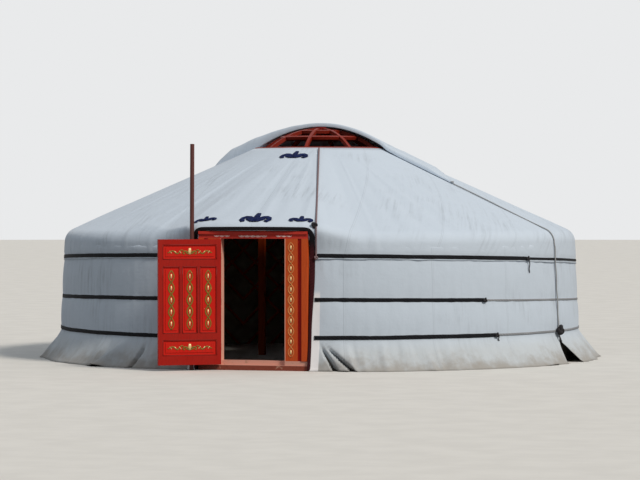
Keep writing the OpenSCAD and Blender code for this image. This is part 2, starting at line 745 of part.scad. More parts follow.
// A panel with a raised field on both faces
module leaf_panel(x0, x1, z0, z1) {
    fit_gap = 0.3;
    margin = 22;
    union() {
        leaf_block(x0 + fit_gap, x1 - fit_gap, panel_inset, leaf_t - panel_inset,
            z0 + fit_gap, z1 - fit_gap);
        leaf_block(x0 + margin, x1 - margin, panel_inset/2, leaf_t - panel_inset/2,
            z0 + margin, z1 - margin);
    }
}
module leaf_panels() {
    first = leaf_gap + stile_w;
    last = first + leaf_inner;
    color(paint_orange) hung() union() {
        leaf_panel(first, last, rail_high(3), rail_low(2));
        leaf_panel(first, last, rail_high(1), rail_low(0));
        for (i = [0:2]) leaf_panel(
            first + leaf_inner*i/3 + (i > 0 ? muntin_w/2 : 0),
            first + leaf_inner*(i + 1)/3 - (i < 2 ? muntin_w/2 : 0),
            rail_high(2), rail_low(1)
        );
    }
}
knuckle_h = 34;
hinge_pin_r = 4;
hinge_z = [leaf_low + 180, (leaf_low + leaf_high)/2, leaf_high - 180];
module knuckle(z, r) {
    translate([hinge_axis[0], hinge_axis[1], z]) cylinder(r = r, h = knuckle_h);
}
module hinge_brackets() {
    color(iron) for (z = hinge_z) union() {
        knuckle(z - knuckle_h - 0.5, hinge_r);
        translate([hinge_axis[0], hinge_axis[1], z - 2]) cylinder(r = hinge_pin_r, h = knuckle_h);
        translate([-door_w/2 - 60, frame_front - 4, z - knuckle_h - 0.5]) cube([60, 4, knuckle_h]);
    }
}
module leaf_hinges() {
    color(iron) hung() for (z = hinge_z) difference() {
        union() {
            knuckle(z + 0.5, hinge_r);
            translate([-door_w/2, frame_front - 4, z + 0.5]) cube([62, 4, knuckle_h]);
        }
        translate([0, 0, -5]) knuckle(z, hinge_pin_r + 0.5);
        translate([0, 0, 5]) knuckle(z, hinge_pin_r + 0.5);
    }
}

door_sill();
door_jamb(-1);  // door_jamb_left
door_jamb(1);  // door_jamb_right
door_lintel();
hinge_brackets();
lattice(1);  // lattice_1
lattice(2);  // lattice_2
lattice(3);  // lattice_3
lattice(4);  // lattice_4
lattice(5);  // lattice_5
roof_poles_door();
roof_poles(0, floor(sections*heads/2) - 1);  // roof_poles_right
roof_poles(floor(sections*heads/2), sections*heads - 1);  // roof_poles_left
crown_rim();
crown_hub();
crown_spokes();
crown_rings();
crown_post(-1);  // crown_post_left
crown_post(1);  // crown_post_right
wall_felt(0, 90);  // wall_felt_front_right
wall_felt(90, 180);  // wall_felt_back_right
wall_felt(180, 270);  // wall_felt_back_left
wall_felt(270, 360);  // wall_felt_front_left
roof_felt_door();
roof_felt(hood_half + side_gap, 102);  // roof_felt_front_right
roof_felt(102, 180);  // roof_felt_back_right
roof_felt(180, 258);  // roof_felt_back_left
roof_felt(258, 360 - hood_half - side_gap);  // roof_felt_front_left
wall_cover(0, 180);  // wall_cover_right
wall_cover(180, 360);  // wall_cover_left
roof_cover_door();
roof_cover_main();
skirt(skirt_side, flap_turn - side_gap, 0, skirt_gape[0]);  // skirt_front_right
skirt(flap_turn + side_gap, 180, skirt_gape[1]);  // skirt_back_right
skirt(180, 270);  // skirt_back_left
skirt(270, 360 - skirt_side);  // skirt_front_left
crown_flap();
belt(0, lay_gap + canvas_t);  // belt_upper
belt(1, 0);  // belt_middle
belt(2, 0);  // belt_lower
flap_rope(flap_turn);  // flap_rope_right
flap_rope(flap_turn + 180);  // flap_rope_left
flap_rope(flap_turn + 90);  // flap_rope_back
flap_pull_rope();
flap_pole();
hem_over_door();
hem_beside_door();
leaf_frame();
leaf_panels();
leaf_hinges();
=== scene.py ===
"""Dresses a felt tent's frame: canvas, bound door edge, belts, ropes, painted door and crown."""
import json
import math

import bmesh
import bpy
from bpy.props import FloatProperty, PointerProperty, StringProperty
from bpy.types import Operator, Panel, PropertyGroup
from mathutils import Matrix, Vector, noise


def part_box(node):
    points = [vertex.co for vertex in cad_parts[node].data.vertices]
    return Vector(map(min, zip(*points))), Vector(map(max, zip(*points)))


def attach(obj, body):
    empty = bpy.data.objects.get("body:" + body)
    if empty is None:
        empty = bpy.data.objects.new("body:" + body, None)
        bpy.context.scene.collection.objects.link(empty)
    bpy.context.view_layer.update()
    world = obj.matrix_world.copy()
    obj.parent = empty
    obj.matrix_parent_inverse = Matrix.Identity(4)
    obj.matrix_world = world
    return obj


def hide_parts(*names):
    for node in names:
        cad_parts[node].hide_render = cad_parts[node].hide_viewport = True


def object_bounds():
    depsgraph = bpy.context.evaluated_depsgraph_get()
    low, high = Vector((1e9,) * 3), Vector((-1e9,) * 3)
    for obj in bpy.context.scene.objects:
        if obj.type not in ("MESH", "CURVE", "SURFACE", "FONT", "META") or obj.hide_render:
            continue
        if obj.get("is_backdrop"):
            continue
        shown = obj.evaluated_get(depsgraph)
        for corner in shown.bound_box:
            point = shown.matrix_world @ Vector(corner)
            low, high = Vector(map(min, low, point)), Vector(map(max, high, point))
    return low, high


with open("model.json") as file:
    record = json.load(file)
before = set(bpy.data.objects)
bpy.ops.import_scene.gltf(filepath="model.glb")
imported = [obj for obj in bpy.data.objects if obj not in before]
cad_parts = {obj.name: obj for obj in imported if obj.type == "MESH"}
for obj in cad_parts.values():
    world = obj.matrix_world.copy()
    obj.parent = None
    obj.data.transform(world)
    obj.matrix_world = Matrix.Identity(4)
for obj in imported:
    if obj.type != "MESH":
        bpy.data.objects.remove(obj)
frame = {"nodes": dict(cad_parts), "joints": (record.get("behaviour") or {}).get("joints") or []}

bl_info = {
    "name": "Felt tent finish",
    "version": (1, 0, 0),
    "blender": (4, 5, 0),
    "location": "View3D > Sidebar > Tent",
    "description": "Canvas, belts, ropes, ornament and paint for a round felt tent",
    "category": "Object",
}

CAD_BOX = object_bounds()
MM = 0.001
OPEN_ANGLE = frame["joints"][0]["range_deg"][1]

# how far the roof canvas stands outside the wall canvas, and the roof line above the poles' axes, mm
STEP, ROOF_OVER_POLES = 6.2, 61.2
# half the width of the door frame, mm
FRAME_HALF = 580
# radius at which the cloth's own coordinates are measured, and the felt's radius, mm
GIRTH_R, FELT_R = 2870, 2850
# length of the skirt's cloth from the lower belt to the hem, and radius of the crown cover's corners, mm
SKIRT_DOWN, CORNER_R = 420, 1660


# ---------------------------------------------------------------- settings

class TentForm(PropertyGroup):
    """Main lines of the tent, in millimetres and degrees."""
    roof_pitch: FloatProperty(name="Roof pitch", description="Slope of the roof", default=24.0)
    wall_out: FloatProperty(name="Eave radius", description="Outer radius at the eave", default=2851.2)
    eave_h: FloatProperty(name="Eave height", description="Where the roof line meets the wall line",
                          default=1385.0)
    eave_bend: FloatProperty(name="Eave bend", description="Radius of the bend at the eave", default=150.0)
    crown_r: FloatProperty(name="Crown radius", description="Where the roof cloth starts", default=715.0)
    crown_z: FloatProperty(name="Crown seat", description="Height of the pole axes at the crown",
                           default=2269.1)
    wall_lean: FloatProperty(name="Wall lean", description="Spread of the wall's foot", default=50.0)
    hood_lift: FloatProperty(name="Lift over the door", description="Rise of the roof edge over the lintel",
                             default=114.7)
    hood_out: FloatProperty(name="Reach over the door", description="How far that edge stands out",
                            default=64.0)
    skirt_r: FloatProperty(name="Skirt reach", description="Radius of the hem on the ground",
                           default=3120.0)
    skirt_top: FloatProperty(name="Skirt top", description="Height where the wall cloth starts to spread",
                             default=316.0)
    fold_turn: FloatProperty(name="Fold turn", description="Turn of the crown cover's right corner, degrees",
                             default=75.8)


class TentCanvas(PropertyGroup):
    """Canvas of the roof, wall and crown cover."""
    colour: StringProperty(name="Canvas", description="Washed cotton canvas, sRGB hex", default="#c4d1df")
    # the stain colour also paints the shadow beside each seam
    shade: StringProperty(name="Stain", description="Rain and dust stain, sRGB hex", default="#98a2ac")
    dirt: StringProperty(name="Dirt", description="Dirt along the hem, sRGB hex", default="#8d8478")
    belly: FloatProperty(name="Belly", description="Swell of the cloth between two belts, mm", default=15.0)
    wrinkle: FloatProperty(name="Wrinkles", description="Height of the wrinkles, mm", default=6.0)
    weave: FloatProperty(name="Weave", description="Drawn thread spacing, mm", default=7.0)
    applique: StringProperty(name="Appliqué", description="Blue cloth ornament, sRGB hex",
                             default="#0b1740")


class TentCords(PropertyGroup):
    """Belts, ropes and binding."""
    belt: StringProperty(name="Belt", description="Black hair webbing, sRGB hex", default="#0b0c10")
    belt_end: StringProperty(name="Belt end", description="Thin worn end of a belt, sRGB hex",
                             default="#7d8085")
    rope: StringProperty(name="Rope", description="Bleached hair rope, sRGB hex", default="#94979a")
    knot: StringProperty(name="Knots", description="Dark hair rope of the knots, sRGB hex",
                         default="#100e12")
    pull_rope: StringProperty(name="Pull rope", description="Rope of the crown cover, sRGB hex",
                              default="#766468")
    binding: StringProperty(name="Binding", description="Dark edging cloth, sRGB hex", default="#300c12")
    rope_r: FloatProperty(name="Rope radius", description="Radius of a rope, mm", default=8.0)
    lay: FloatProperty(name="Rope lay", description="Length of one twist, mm", default=62.0)


class TentPaint(PropertyGroup):
    """Painted wood and iron."""
    orange: StringProperty(name="Orange", description="Orange oil paint indoors, sRGB hex",
                           default="#b2420e")
    # the jambs' orange is the indoor orange lightened: painted sunlight on the jambs
    jamb: StringProperty(name="Jambs", description="Sunlit orange oil paint of the jambs, sRGB hex",
                         default="#cb511f")
    red: StringProperty(name="Red", description="Red oil paint, sRGB hex", default="#a41406")
    bright_red: StringProperty(name="Bright red", description="Red of the leaf's panels, sRGB hex",
                               default="#cc1806")
    dark_red: StringProperty(name="Dark red", description="Red of the sill and grooves, sRGB hex",
                             default="#7c1209")
    crown_red: StringProperty(name="Crown red", description="Red of the crown wheel, sRGB hex",
                              default="#7e1f0e")
    gold: StringProperty(name="Gold", description="Pale gilt ornament, sRGB hex", default="#efcf94")
    bare: StringProperty(name="Bare wood", description="Wood where paint has worn off, sRGB hex",
                         default="#b98a5c")


class TentStage(PropertyGroup):
    """Camera, floor and lights."""
    azimuth: FloatProperty(name="Azimuth", description="Camera's turn from the door, degrees", default=14.0)
    distance: FloatProperty(name="Distance", description="Camera to tent, m", default=32.0, unit="LENGTH")
    height: FloatProperty(name="Eye height", description="Camera height, m", default=1.77, unit="LENGTH")
    lens: FloatProperty(name="Lens", description="Focal length, mm", default=160.0)
    key: FloatProperty(name="Sun", description="Strength of the soft sun", default=2.42)
    sky: FloatProperty(name="Sky", description="Strength of the sky light", default=0.5)


# ---------------------------------------------------------------- shape helpers

def smooth(x):
    """Rises from 0 to 1 as x does, with soft ends."""
    c = min(max(x, 0.0), 1.0)
    return c * c * (3 - 2 * c)


def turned(r, z, t):
    """Point at a radius, height and turn from the door, in mm, as metres."""
    a = math.radians(t)
    return Vector((r * math.sin(a), -r * math.cos(a), z)) * MM


def waves(t, z, size, seed):
    """Soft noise on the round of the wall, with features of a size in mm."""
    a = math.radians(t)
    k = 1 / size
    x, y = FELT_R * math.sin(a), FELT_R * math.cos(a)
    return noise.noise(Vector((x * k + seed, y * k, z * k + 3.7 * seed)))


class Shape:
    """Lines of the cloth, in mm, worked out from the form's sizes."""

    def __init__(self, form):
        self.form = form
        p = math.radians(form.roof_pitch)
        self.sin, self.cos, self.tan = math.sin(p), math.cos(p), math.tan(p)
        self.bend_start = 90 - form.roof_pitch
        self.bend_r = form.wall_out - form.eave_bend
        self.bend_z = form.eave_h - form.eave_bend * math.tan(math.radians(self.bend_start / 2))
        self.top = (form.crown_r + 1.1 + ROOF_OVER_POLES * self.sin,
                    form.crown_z - 0.5 + ROOF_OVER_POLES * self.cos)
        a = math.radians(self.bend_start)
        foot = (self.bend_r + form.eave_bend * math.cos(a), self.bend_z + form.eave_bend * math.sin(a))
        self.slope = math.dist(self.top, foot)
        self.round = form.eave_bend * a
        self.belt_front = (1183, 732, 340)
        self.belt_back = (1000, 590, 340)
        self.belt_top = 1210

    def cover_r(self, z):
        """Radius of the wall canvas at a height."""
        spread = (self.bend_z - z) / (self.bend_z - self.belt_front[2])
        return self.form.wall_out - STEP + self.form.wall_lean * spread

    def belt_z(self, i, t):
        """Height of a belt at a turn: each lies in a plane that falls from the door to the back."""
        a, b = self.belt_front[i], self.belt_back[i]
        return (a + b) / 2 + (a - b) / 2 * math.cos(math.radians(t))

    def roof(self, s):
        """(radius, height, outward r, outward z) at a length down the roof cloth from the crown."""
        if s < self.slope:
            return (self.top[0] + s * self.cos, self.top[1] - s * self.sin, self.sin, self.cos)
        if s < self.slope + self.round:
            a = math.radians(self.bend_start) - (s - self.slope) / self.form.eave_bend
            return (self.bend_r + self.form.eave_bend * math.cos(a),
                    self.bend_z + self.form.eave_bend * math.sin(a), math.cos(a), math.sin(a))
        z = self.bend_z - (s - self.slope - self.round)
        return (self.cover_r(z) + STEP, z, 1.0, 0.0)

    def lifted(self, r, z, t):
        """The roof's edge is raised and brought forward over the door."""
        share = smooth((24 - abs(t)) / 13)  # whole to 11 degrees from the door's middle, none past 24
        if share == 0:
            return r, z
        along = min(max((r - self.form.crown_r) / (self.form.wall_out - self.form.crown_r), 0), 1)
        held = smooth((z - self.belt_top) / (self.form.eave_h - 40 - self.belt_top))
        out = smooth((r - self.form.wall_out) / (3 * self.form.hood_out) + 1)
        return (r + share * held * out * self.form.hood_out, z + share * held * self.form.hood_lift * along)

    def draped(self, s, t):
        """The roof cloth at a length and turn: straight from the crown to the bend, lifted over the
        door."""
        r, z, nr, nz = self.roof(s)
        if s >= self.slope:
            return (*self.lifted(r, z, t), nr, nz)
        head, foot = self.lifted(*self.top, t), self.lifted(*self.roof(self.slope)[:2], t)
        f = s / self.slope
        return (head[0] + (foot[0] - head[0]) * f, head[1] + (foot[1] - head[1]) * f, nr, nz)

    def on_roof(self, s, t, rise=0.0):
        """Point on the roof cloth, or a rise above it."""
        r, z, nr, nz = self.draped(s, t)
        return turned(r + rise * nr, z + rise * nz, t)

    def door_edge(self, t):
        """Length down the cloth at which the roof cloth ends over the door, with a bowed edge."""
        x = min(abs(t) / 11.9, 1)
        angle = 15.6 - 1.2 * x ** 4
        return self.slope + self.form.eave_bend * math.radians(self.bend_start - angle)

    def valance(self, t):
        """Length down the cloth at which it ends below the upper belt."""
        z = self.belt_z(0, t) - 33 - 5 * waves(t, 0, 260, 4.1)
        return self.slope + self.round + self.bend_z - z

    def skirt_reach(self, t):
        """Radius of the hem at a turn: close beside the door, wavy, and wider behind."""
        d = abs(t - 360 if t > 180 else t)
        top = self.cover_r(self.form.skirt_top)
        wide = smooth((d - 12.83) / 14)
        a = math.radians(t)
        near = top + 60
        far = self.form.skirt_r - 14 + 9 * math.sin(7 * a) + 5 * math.sin(19 * a)
        return near + wide * (far - near) + 70 * smooth((d - 110) / 60)


def new_object(name, bm, finish, body="house"):
    """Makes the piece from a bmesh, gives it its material and lets it ride on a body."""
    mesh = bpy.data.meshes.new(name)
    bm.to_mesh(mesh)
    bm.free()
    mesh.polygons.foreach_set("use_smooth", [True] * len(mesh.polygons))
    piece = bpy.data.objects.new(name, mesh)
    bpy.context.scene.collection.objects.link(piece)
    mesh.materials.append(finish)
    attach(piece, body)
    return piece


def thicken(piece, thickness):
    """Gives a sheet its thickness inwards."""
    wall = piece.modifiers.new("Thickness", "SOLIDIFY")
    wall.thickness = thickness
    wall.offset = -1


def around(verts, what):
    """The faces or edges round some vertices, each once and in the same order on every run."""
    return list(dict.fromkeys(item for v in verts for item in getattr(v, what)))


def add_cloth(bm, columns, rows, place):
    """Adds a sheet made from a grid. place(u, v) gives a point and the cloth's own coordinates in metres."""
    layer = bm.loops.layers.uv.get("Cloth") or bm.loops.layers.uv.new("Cloth")
    made = bmesh.ops.create_grid(bm, x_segments=columns, y_segments=rows, size=0.5)["verts"]
    own = {}
    for v in made:
        point, own[v] = place(min(max(v.co.x + 0.5, 0), 1), min(max(v.co.y + 0.5, 0), 1))
        v.co = point
    faces = around(made, "link_faces")
    for corner in (corner for f in faces for corner in f.loops):
        corner[layer].uv = own[corner.vert]
    # a face a quarter of the way up the grid, which is the upper layer of a folded sheet, has to look out
    told = made[rows // 4 * (columns + 1) + columns // 2].link_faces[0]
    told.normal_update()
    middle = told.calc_center_median()
    if told.normal.dot(Vector((middle.x, middle.y, 0.6 * middle.xy.length))) < 0:
        bmesh.ops.reverse_faces(bm, faces=faces)
    return made


def add_skin(bm, rings, sides, point):
    """Adds a tube with closed ends, made from a grid whose seam is merged. point(j, k) is corner k of ring
    j."""
    layer = bm.loops.layers.uv.get("Cloth") or bm.loops.layers.uv.new("Cloth")
    made = bmesh.ops.create_grid(bm, x_segments=sides, y_segments=rings - 1, size=0.5)["verts"]
    own, length = {}, [0.0]
    centre = [sum((point(j, k) for k in range(sides)), Vector()) / sides for j in range(rings)]
    for j in range(1, rings):
        length.append(length[-1] + (centre[j] - centre[j - 1]).length)
    girth = sum((point(0, k) - point(0, (k + 1) % sides)).length for k in range(sides))
    for v in made:
        k, j = round((v.co.x + 0.5) * sides), round((v.co.y + 0.5) * (rings - 1))
        own[v] = (k / sides * girth, length[j])
        v.co = point(j, k % sides)
    faces = around(made, "link_faces")
    for corner in (corner for f in faces for corner in f.loops):
        corner[layer].uv = own[corner.vert]
    bmesh.ops.remove_doubles(bm, verts=made, dist=1e-6)
    made = [v for v in made if v.is_valid]
    rims = [e for e in around(made, "link_edges") if e.is_boundary]
    if rims:
        bmesh.ops.holes_fill(bm, edges=rims, sides=0)
    bmesh.ops.recalc_face_normals(bm, faces=around(made, "link_faces"))


def framed(path):
    """Centre, side and lift directions along a path, without twist."""
    out, side = [], None
    last = len(path) - 1
    for i, p in enumerate(path):
        along = (path[min(i + 1, last)] - path[max(i - 1, 0)]).normalized()
        if side is None:
            side = along.cross(Vector((0, 0, 1)) if abs(along.z) < 0.9 else Vector((1, 0, 0))).normalized()
        side = (side - along * side.dot(along)).normalized()
        out.append((p, side, side.cross(along)))
    return out


def resampled(path, step):
    """Even points along a path, in metres."""
    out, rest = [path[0].copy()], step
    for a, b in zip(path, path[1:]):
        run, at = (b - a).length, 0.0
        while run - at >= rest:
            at += rest
            out.append(a.lerp(b, at / run))
            rest = step
        rest -= run - at
    if (out[-1] - path[-1]).length > step * 0.3:
        out.append(path[-1].copy())
    return out


def rounded_path(path, rounds=2):
    """Cuts the corners of a path."""
    for _ in range(rounds):
        cut = [path[0]]
        for a, b in zip(path, path[1:]):
            cut += [a.lerp(b, 0.25), a.lerp(b, 0.75)]
        path = cut + [path[-1]]
    return path


def add_rope(bm, path, radius, lay, sides=12):
    """Adds a three-strand rope along a path, in metres."""
    path = resampled(path, lay / 9)
    places = framed(path)
    run = [0.0]
    for a, b in zip(path, path[1:]):
        run.append(run[-1] + (b - a).length)

    def point(j, k):
        centre, side, lift = places[j]
        a = 2 * math.pi * k / sides
        strand = radius * (0.86 + 0.16 * math.cos(3 * (a - 2 * math.pi * run[j] / lay)))
        return centre + side * strand * math.cos(a) + lift * strand * math.sin(a)
    add_skin(bm, len(path), sides, point)


def add_knot(bm, centre, size, radius, facing):
    """Adds a tied knot: a closed trefoil of rope."""
    frame_z = facing.normalized()
    frame_x = frame_z.orthogonal().normalized()
    frame_y = frame_z.cross(frame_x)
    path = []
    for i in range(49):
        a = 2 * math.pi * i / 48
        loop = frame_x * (math.sin(a) + 2 * math.sin(2 * a)) + frame_y * (math.cos(a) - 2 * math.cos(2 * a))
        path.append(centre + (loop - frame_z * 0.9 * math.sin(3 * a)) * size / 3)
    places = framed(path)

    def point(j, k):
        centre, side, lift = places[j]
        a = 2 * math.pi * k / 8
        return centre + (side * math.cos(a) + lift * math.sin(a)) * radius
    add_skin(bm, len(path), 8, point)


# ---------------------------------------------------------------- materials

# settings that come up often: a smooth MapRange, a Mix of two colours (inputs 6 and 7), two kinds of Math
SMOOTH = {"interpolation_type": "SMOOTHSTEP"}
COLOURS = {"data_type": "RGBA", "out": 2}
TIMES, PLUS = {"operation": "MULTIPLY"}, {"operation": "ADD"}
# how the brush lines of paint are stretched: along Z on upright wood, or evenly
UPRIGHT, LEVEL = (1.0, 1.0, 0.08), (0.25, 0.25, 0.25)


def linear(code):
    """An sRGB hex colour as linear red, green, blue and alpha."""
    parts = [int(code[i:i + 2], 16) / 255 for i in (1, 3, 5)]
    return tuple(c / 12.92 if c <= 0.04045 else ((c + 0.055) / 1.055) ** 2.4 for c in parts) + (1.0,)


def per(size):
    """Texture scale for a pattern whose features are a size in mm, on coordinates in metres."""
    return 1000.0 / size


def add(tree, kind, inputs=(), out=0, **settings):
    """Adds a node and gives one of its outputs. inputs are in order, or by name or number, and each is a
    value, a hex colour or a socket to link."""
    node = tree.nodes.new("ShaderNode" + kind)
    for key, value in settings.items():
        setattr(node, key, value)
    for key, value in inputs.items() if isinstance(inputs, dict) else enumerate(inputs):
        if isinstance(value, bpy.types.NodeSocket):
            tree.links.new(value, node.inputs[key])
        else:
            node.inputs[key].default_value = linear(value) if isinstance(value, str) else value
    return node.outputs[out]


def over(tree, colour, other, share, *limits):
    """Lays a colour over another, by a share or where a pattern goes from one limit to the next."""
    if limits:
        share = add(tree, "MapRange", (share, *limits), **SMOOTH)
    return add(tree, "Mix", {0: share, 6: colour, 7: other}, **COLOURS)


def coat(tree, skin, colour, height, relief, strength, **under):
    """Gives a shader its colour, and a relief in mm that follows a height."""
    bump = add(tree, "Bump", {"Height": height, "Distance": relief * MM, "Strength": strength, **under})
    tree.links.new(colour, skin["Base Color"])
    tree.links.new(bump, skin["Normal"])


def start(name, **shader):
    """A new material: itself, its tree, its shader's inputs and its Object coordinates."""
    finish = bpy.data.materials.new(name)
    finish.use_nodes = True
    tree = finish.node_tree
    skin = tree.nodes["Principled BSDF"].inputs
    for key, value in shader.items():
        skin[key.replace("_", " ")].default_value = value
    return finish, tree, skin, add(tree, "TexCoord", out="Object")


def canvas_finish(settings):
    """Cotton canvas, plain woven, sewn from widths of cloth: matt and chalky, washed by rain, dirty at the
    hem."""
    finish, tree, skin, place = start("washed cotton canvas", Roughness=0.93, Sheen_Weight=0.15)
    own = add(tree, "TexCoord", out="UV")
    x, y, height = (add(tree, "SeparateXYZ", (place,), axis) for axis in "XYZ")
    # clouds of wear 620 mm wide, rain streaks 45 mm wide that run down the cloth, specks of 60 mm
    clouds = add(tree, "TexNoise", {"Vector": place, "Scale": per(620), "Detail": 5, "Roughness": 0.55})
    down = add(tree, "Mapping", {"Vector": own, "Scale": (1.0, 0.09, 1.0)})
    streaks = add(tree, "TexNoise", {"Vector": down, "Scale": per(45), "Detail": 4, "Roughness": 0.6})
    specks = add(tree, "TexNoise", {"Vector": place, "Scale": per(60), "Detail": 6, "Roughness": 0.7})
    worn = add(tree, "Math", (add(tree, "MapRange", (clouds, 0.45, 0.72), **SMOOTH),
                              add(tree, "MapRange", (streaks, 0.42, 0.7, 0.0, 0.55), **SMOOTH)), **TIMES)
    colour = over(tree, settings.colour, settings.shade, worn)
    colour = over(tree, colour, settings.shade, specks, 0.62, 0.78, 0.0, 0.22)
    # a grey tinge from 380 mm down, and dirt splashed up unevenly from the ground
    colour = over(tree, colour, "#aeaea6", height, 0.38, 0.16, 0.0, 0.42)
    drops = add(tree, "TexNoise", {"Vector": place, "Scale": per(180), "Detail": 6, "Roughness": 0.65})
    splash = add(tree, "Math", (height, add(tree, "Math", (drops, -0.42), **TIMES)), **PLUS)
    colour = over(tree, colour, settings.dirt, splash, 0.0, -0.24, 0.0, 0.7)
    # seams every 950 mm between the widths: a doubled strip 14 mm wide, with a painted shadow in the stain
    # colour at its edge
    every = 0.95
    across = add(tree, "Math", (add(tree, "SeparateXYZ", (own,), "X"), 40 * every), **PLUS)
    across = add(tree, "Math", (across, every / 2), operation="PINGPONG")
    seam = add(tree, "MapRange", (across, 0.009, 0.0065), **SMOOTH)
    edge = add(tree, "Math", (add(tree, "MapRange", (across, 0.013, 0.0085), **SMOOTH),
                              add(tree, "MapRange", (across, 0.0055, 0.008), **SMOOTH)), **TIMES)
    shadow = add(tree, "Math", (edge, 0.35), **TIMES)
    colour = over(tree, colour, settings.shade, shadow)
    # painted highlight: the doubled hem beside the door, up to 840 mm, is painted near white to stand for its
    # sunlit folded edge
    beside = add(tree, "MapRange", (add(tree, "Math", (x,), operation="ABSOLUTE"), 0.700, 0.693), **SMOOTH)
    hem = add(tree, "Math", (beside, add(tree, "MapRange", (y, -2.5, -2.6), **SMOOTH)), **TIMES)
    low = add(tree, "MapRange", (height, 0.84, 0.76, 0.0, 0.8), **SMOOTH)
    colour = over(tree, colour, "#f4f3f6", add(tree, "Math", (hem, low), **TIMES))
    # the weave is drawn several times coarser than the real 1 mm threads, so that it shows
    warp, weft = (add(tree, "TexWave", {"Vector": own, "Scale": per(settings.weave) / math.tau,
                                        "Distortion": 0.6, "Detail": 1.0}, "Fac", bands_direction=axis)
                  for axis in "XY")
    threads = add(tree, "Math", (warp, weft), **TIMES)
    weave = add(tree, "Bump", {"Height": threads, "Distance": 0.7 * MM, "Strength": 0.35})
    crumple = add(tree, "TexNoise", {"Vector": place, "Scale": per(130), "Detail": 5, "Roughness": 0.6})
    crumple = add(tree, "Math", (crumple, add(tree, "Math", (seam, 0.25), **TIMES)), **PLUS)
    coat(tree, skin, colour, crumple, 9, 0.5, Normal=weave)
    return finish


def felt_finish():
    """Pressed sheep's wool felt: thick, matt, with short matted fibres and yellow-grey patches."""
    finish, tree, skin, place = start("pressed wool felt", Roughness=0.97, Sheen_Weight=0.3)
    lying = add(tree, "Mapping", {"Vector": place, "Scale": (1.0, 1.0, 2.6)})
    fibres = add(tree, "TexNoise", {"Vector": lying, "Scale": per(9), "Detail": 6, "Roughness": 0.7})
    patches = add(tree, "TexNoise", {"Vector": place, "Scale": per(260), "Detail": 4, "Roughness": 0.55})
    colour = over(tree, "#9a917f", "#7f745f", patches, 0.4, 0.7)
    colour = over(tree, colour, "#6a6152", fibres, 0.5, 0.75, 0.0, 0.5)
    coat(tree, skin, colour, fibres, 3, 0.7)
    return finish


def painted_finish(name, code, bare, grain=UPRIGHT, wear=0.5, groove=None, trodden=None):
    """Old oil paint brushed on pine: chalky, with brush lines along the grain, dust, and bare wood where it
    has chipped. groove is the colour of the jambs' grooves, between 478 and 520 mm from the door's middle;
    their reveals are pale, partly paint rubbed down to the primer and partly a painted highlight of sun on
    them. trodden is the height in metres above which shoes have worn it."""
    finish, tree, skin, place = start(name, Roughness=0.5, Specular_IOR_Level=0.2)
    grained = add(tree, "Mapping", {"Vector": place, "Scale": grain})
    brush = add(tree, "TexNoise", {"Vector": grained, "Scale": per(7), "Detail": 5, "Roughness": 0.6})
    fade = add(tree, "TexNoise", {"Vector": place, "Scale": per(240), "Detail": 4, "Roughness": 0.55})
    chips = add(tree, "TexNoise", {"Vector": grained, "Scale": per(34), "Detail": 8, "Roughness": 0.72})

    def toned(share, lift):
        parts = (int(int(code[i:i + 2], 16) * share + lift) for i in (1, 3, 5))
        return "#" + "".join("%02x" % min(255, part) for part in parts)

    colour = over(tree, code, toned(0.93, 12), fade, 0.35, 0.7, 0.0, 0.6)
    colour = over(tree, colour, toned(0.72, 0), brush, 0.45, 0.75, 0.0, 0.5)
    if groove:
        aside = add(tree, "Math", (add(tree, "SeparateXYZ", (place,), "X"),), operation="ABSOLUTE")
        inside = add(tree, "Math", (add(tree, "MapRange", (aside, 0.476, 0.479), **SMOOTH),
                                    add(tree, "MapRange", (aside, 0.521, 0.518), **SMOOTH)), **TIMES)
        colour = over(tree, colour, groove, inside)
        # the reveals: pale primer where the paint is rubbed off, lightened further as a painted highlight of
        # sun
        colour = over(tree, colour, "#f0b39e", aside, 0.350, 0.344)
    if trodden:
        height = add(tree, "SeparateXYZ", (place,), "Z")
        colour = over(tree, colour, "#e0a896", height, trodden - 0.004, trodden + 0.002, 0.0, 0.85)
    lost = 0.78 - 0.06 * wear
    colour = over(tree, colour, bare, chips, lost - 0.04, lost)
    dull = add(tree, "MapRange", (fade, 0.3, 0.7, 0.42, 0.62), **SMOOTH)
    tree.links.new(dull, skin["Roughness"])
    film = add(tree, "MapRange", (chips, lost, lost - 0.05), **SMOOTH)
    film = add(tree, "Math", (add(tree, "Math", (brush, 0.35), **TIMES), film), **PLUS)
    coat(tree, skin, colour, film, 0.8, 0.5)
    return finish


def woven_finish(name, code, worn, pitch=11.0, top=None):
    """Webbing or edging woven from goat and yak hair: coarse slanting ribs, hairy and matt. top is its colour
    where it runs level over the door: darker, a painted shade under the roof's raised edge."""
    finish, tree, skin, place = start(name, Roughness=0.92, Sheen_Weight=0.03, Specular_IOR_Level=0.2)
    own = add(tree, "TexCoord", out="UV")
    ribs = add(tree, "TexWave", {"Vector": own, "Scale": per(pitch) / math.tau, "Distortion": 1.5,
                                 "Detail": 2.0}, "Fac", bands_direction="DIAGONAL")
    fade = add(tree, "TexNoise", {"Vector": place, "Scale": per(300), "Detail": 5, "Roughness": 0.55})
    colour = over(tree, code, worn, ribs, 0.35, 0.9, 0.0, 0.55)
    colour = over(tree, colour, worn, fade, 0.5, 0.75, 0.0, 0.35)
    if top:
        # painted shade: near black over the door, under the roof's raised edge
        colour = over(tree, colour, top, add(tree, "SeparateXYZ", (place,), "Z"), 1.22, 1.34)
    coat(tree, skin, colour, ribs, 1.6, 0.7)
    return finish


